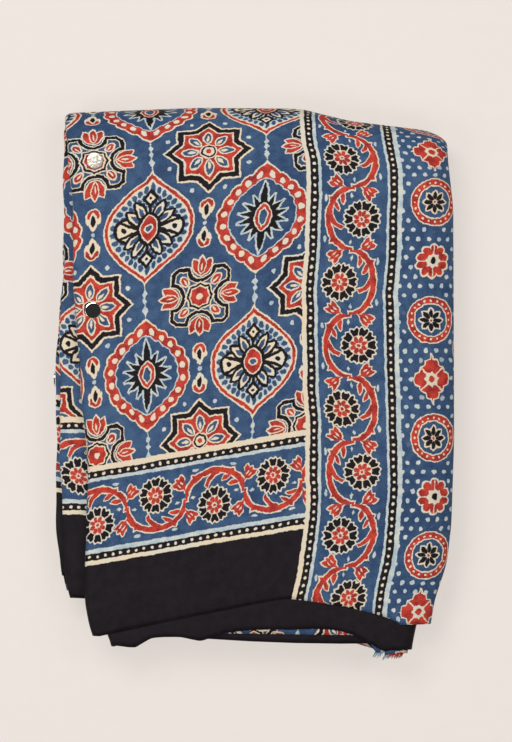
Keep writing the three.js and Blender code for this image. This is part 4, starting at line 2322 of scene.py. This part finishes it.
@dataclass(frozen=True)
class Studio:
    """Floor, light and camera.

    A lamp has its place, its side and its power in watts.
    """

    image: tuple[int, int] = (512, 742)
    pixel: float = 1.05 * MM
    middle: Pair = (1.05 * MM, 10.5 * MM)
    top: float = 0.053
    distance: float = 2.6
    sensor: float = 24.0
    lamps: tuple[tuple[Triple, float, float], ...] = (
        ((-0.75, 1.20, 2.0), 1.3, 34.0),
        ((1.35, 0.6, 2.0), 1.3, 18.0),
        ((1.0, -1.25, 2.0), 1.2, 14.0),
        ((-1.40, -0.75, 1.8), 1.2, 20.0),
    )
    floor_half: float = 3.0
    floor_colour: Triple = (0.78, 0.72, 0.67)
    floor_base: float = 0.3
    floor_worn: float = 0.90
    floor_grain: Pair = (60.0, 4.0)
    floor_roughness: Pair = (0.2, 0.6)
    floor_shine: float = 0.2
    floor_wear: float = 0.3
    floor_glow: float = 0.76
    sky: float = 0.03
    sky_colour: Triple = (1.0, 0.985, 0.96)

    def build(self, shift: np.ndarray) -> None:
        """Sets the stage.

        Args:
            shift: Move from the cloth's own place to the shared frame, in metres.
        """
        self._floor()
        for spot, size, power in self.lamps:
            self._lamp(spot, size, power)
        world = bpy.data.worlds.new("soft_room")
        world.use_nodes = True
        back = world.node_tree.nodes["Background"]
        back.inputs[0].default_value = (*self.sky_colour, 1.0)
        back.inputs[1].default_value = self.sky
        scene = bpy.context.scene
        scene.world = world
        scene.view_settings.view_transform = "Standard"
        lens_data = bpy.data.cameras.new("overhead")
        lens_data.sensor_fit = "VERTICAL"
        lens_data.sensor_height = self.sensor
        lens_data.lens = self.sensor * self.distance / (self.image[1] * self.pixel)
        camera = bpy.data.objects.new("overhead", lens_data)
        camera.location = (self.middle[0] + shift[0], self.middle[1] + shift[1], self.top + self.distance)
        scene.collection.objects.link(camera)
        scene.camera = camera
        LOG.info("overhead: %.1f mm lens at %.2f m", lens_data.lens, self.distance)

    def _floor(self) -> None:
        """Lays the pale floor."""
        side = np.linspace(-self.floor_half, self.floor_half, 2)
        x, y = np.meshgrid(side, side, indexing="ij")
        floor = mesh_object("floor", np.stack((x, y, 0.0 * x), axis=-1), grid_faces(2, 2))
        well = Inkwell("pale_floor")
        worn = well.grain(*self.floor_grain)
        swing, rough = self.floor_roughness
        base = tuple(self.floor_base * value for value in self.floor_colour)
        dull = tuple(self.floor_worn * value for value in self.floor_colour)
        material = well.dressed(
            {
                "Base Color": base,
                "Roughness": worn * swing + rough,
                "Specular IOR Level": self.floor_shine,
                "Emission Color": well.hue(self.floor_colour).over(worn * self.floor_wear, dull),
                "Emission Strength": self.floor_glow,
            }
        )
        floor.data.materials.append(material)

    def _lamp(self, spot: Triple, size: float, power: float) -> None:
        """Hangs a square soft light that faces the cloth.

        Args:
            spot: Its place.
            size: Its side.
            power: Its power in watts.
        """
        data = bpy.data.lights.new("soft_light", "AREA")
        data.size = size
        data.energy = power
        lamp = bpy.data.objects.new("soft_light", data)
        lamp.location = spot
        lamp.rotation_euler = Vector(spot).to_track_quat("Z", "Y").to_euler()
        bpy.context.scene.collection.objects.link(lamp)


def middle_of(name: str) -> np.ndarray:
    """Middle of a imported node's box, in metres."""
    low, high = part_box(name)
    return (np.array(low) + np.array(high)) / 2


@dataclass(frozen=True)
class Pile:
    """The whole object in the shared frame.

    A mirror has its node's name, how wavy its glass is and how dull.
    """

    cloth: Cloth = Cloth()
    corner: FrayedCorner = FrayedCorner()
    glass: SilveredGlass = SilveredGlass()
    mirrors: tuple[tuple[str, float, float], ...] = (
        ("mirror_upper", 1.0, 0.30),
        ("mirror_lower", 0.05, 0.05),
        ("mirror_side", 0.4, 0.10),
    )

    def shift(self) -> np.ndarray:
        """Move from the form's own place to the shared frame in metres, found from the upper mirror."""
        pad = np.array((*self.cloth.form.pads[0], 0.0)) * MM
        return (middle_of("mirror_upper") - pad) * (1.0, 1.0, 0.0)

    def build(self) -> None:
        """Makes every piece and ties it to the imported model."""
        shift = self.shift()
        LOG.info("shift: %.2f, %.2f mm", *(shift[:2] / MM))
        cloth = self.cloth.build(shift)
        threads = self.corner.build(self.cloth.form, shift)
        for piece in (cloth, threads):
            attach(piece, "root")
        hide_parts("cloth")
        for name, wavy, dull in self.mirrors:
            slots = bpy.data.objects[name].data.materials
            slots.clear()
            slots.append(self.glass.material("silvered_" + name, middle_of(name).tolist(), wavy, dull))
            LOG.info("%s: silvered", name)


def main() -> None:
    """Builds the pile and its stage."""
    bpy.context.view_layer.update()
    pile = Pile()
    pile.build()
    Studio().build(pile.shift())
    bpy.context.view_layer.update()


if __name__ == "__main__":
    main()
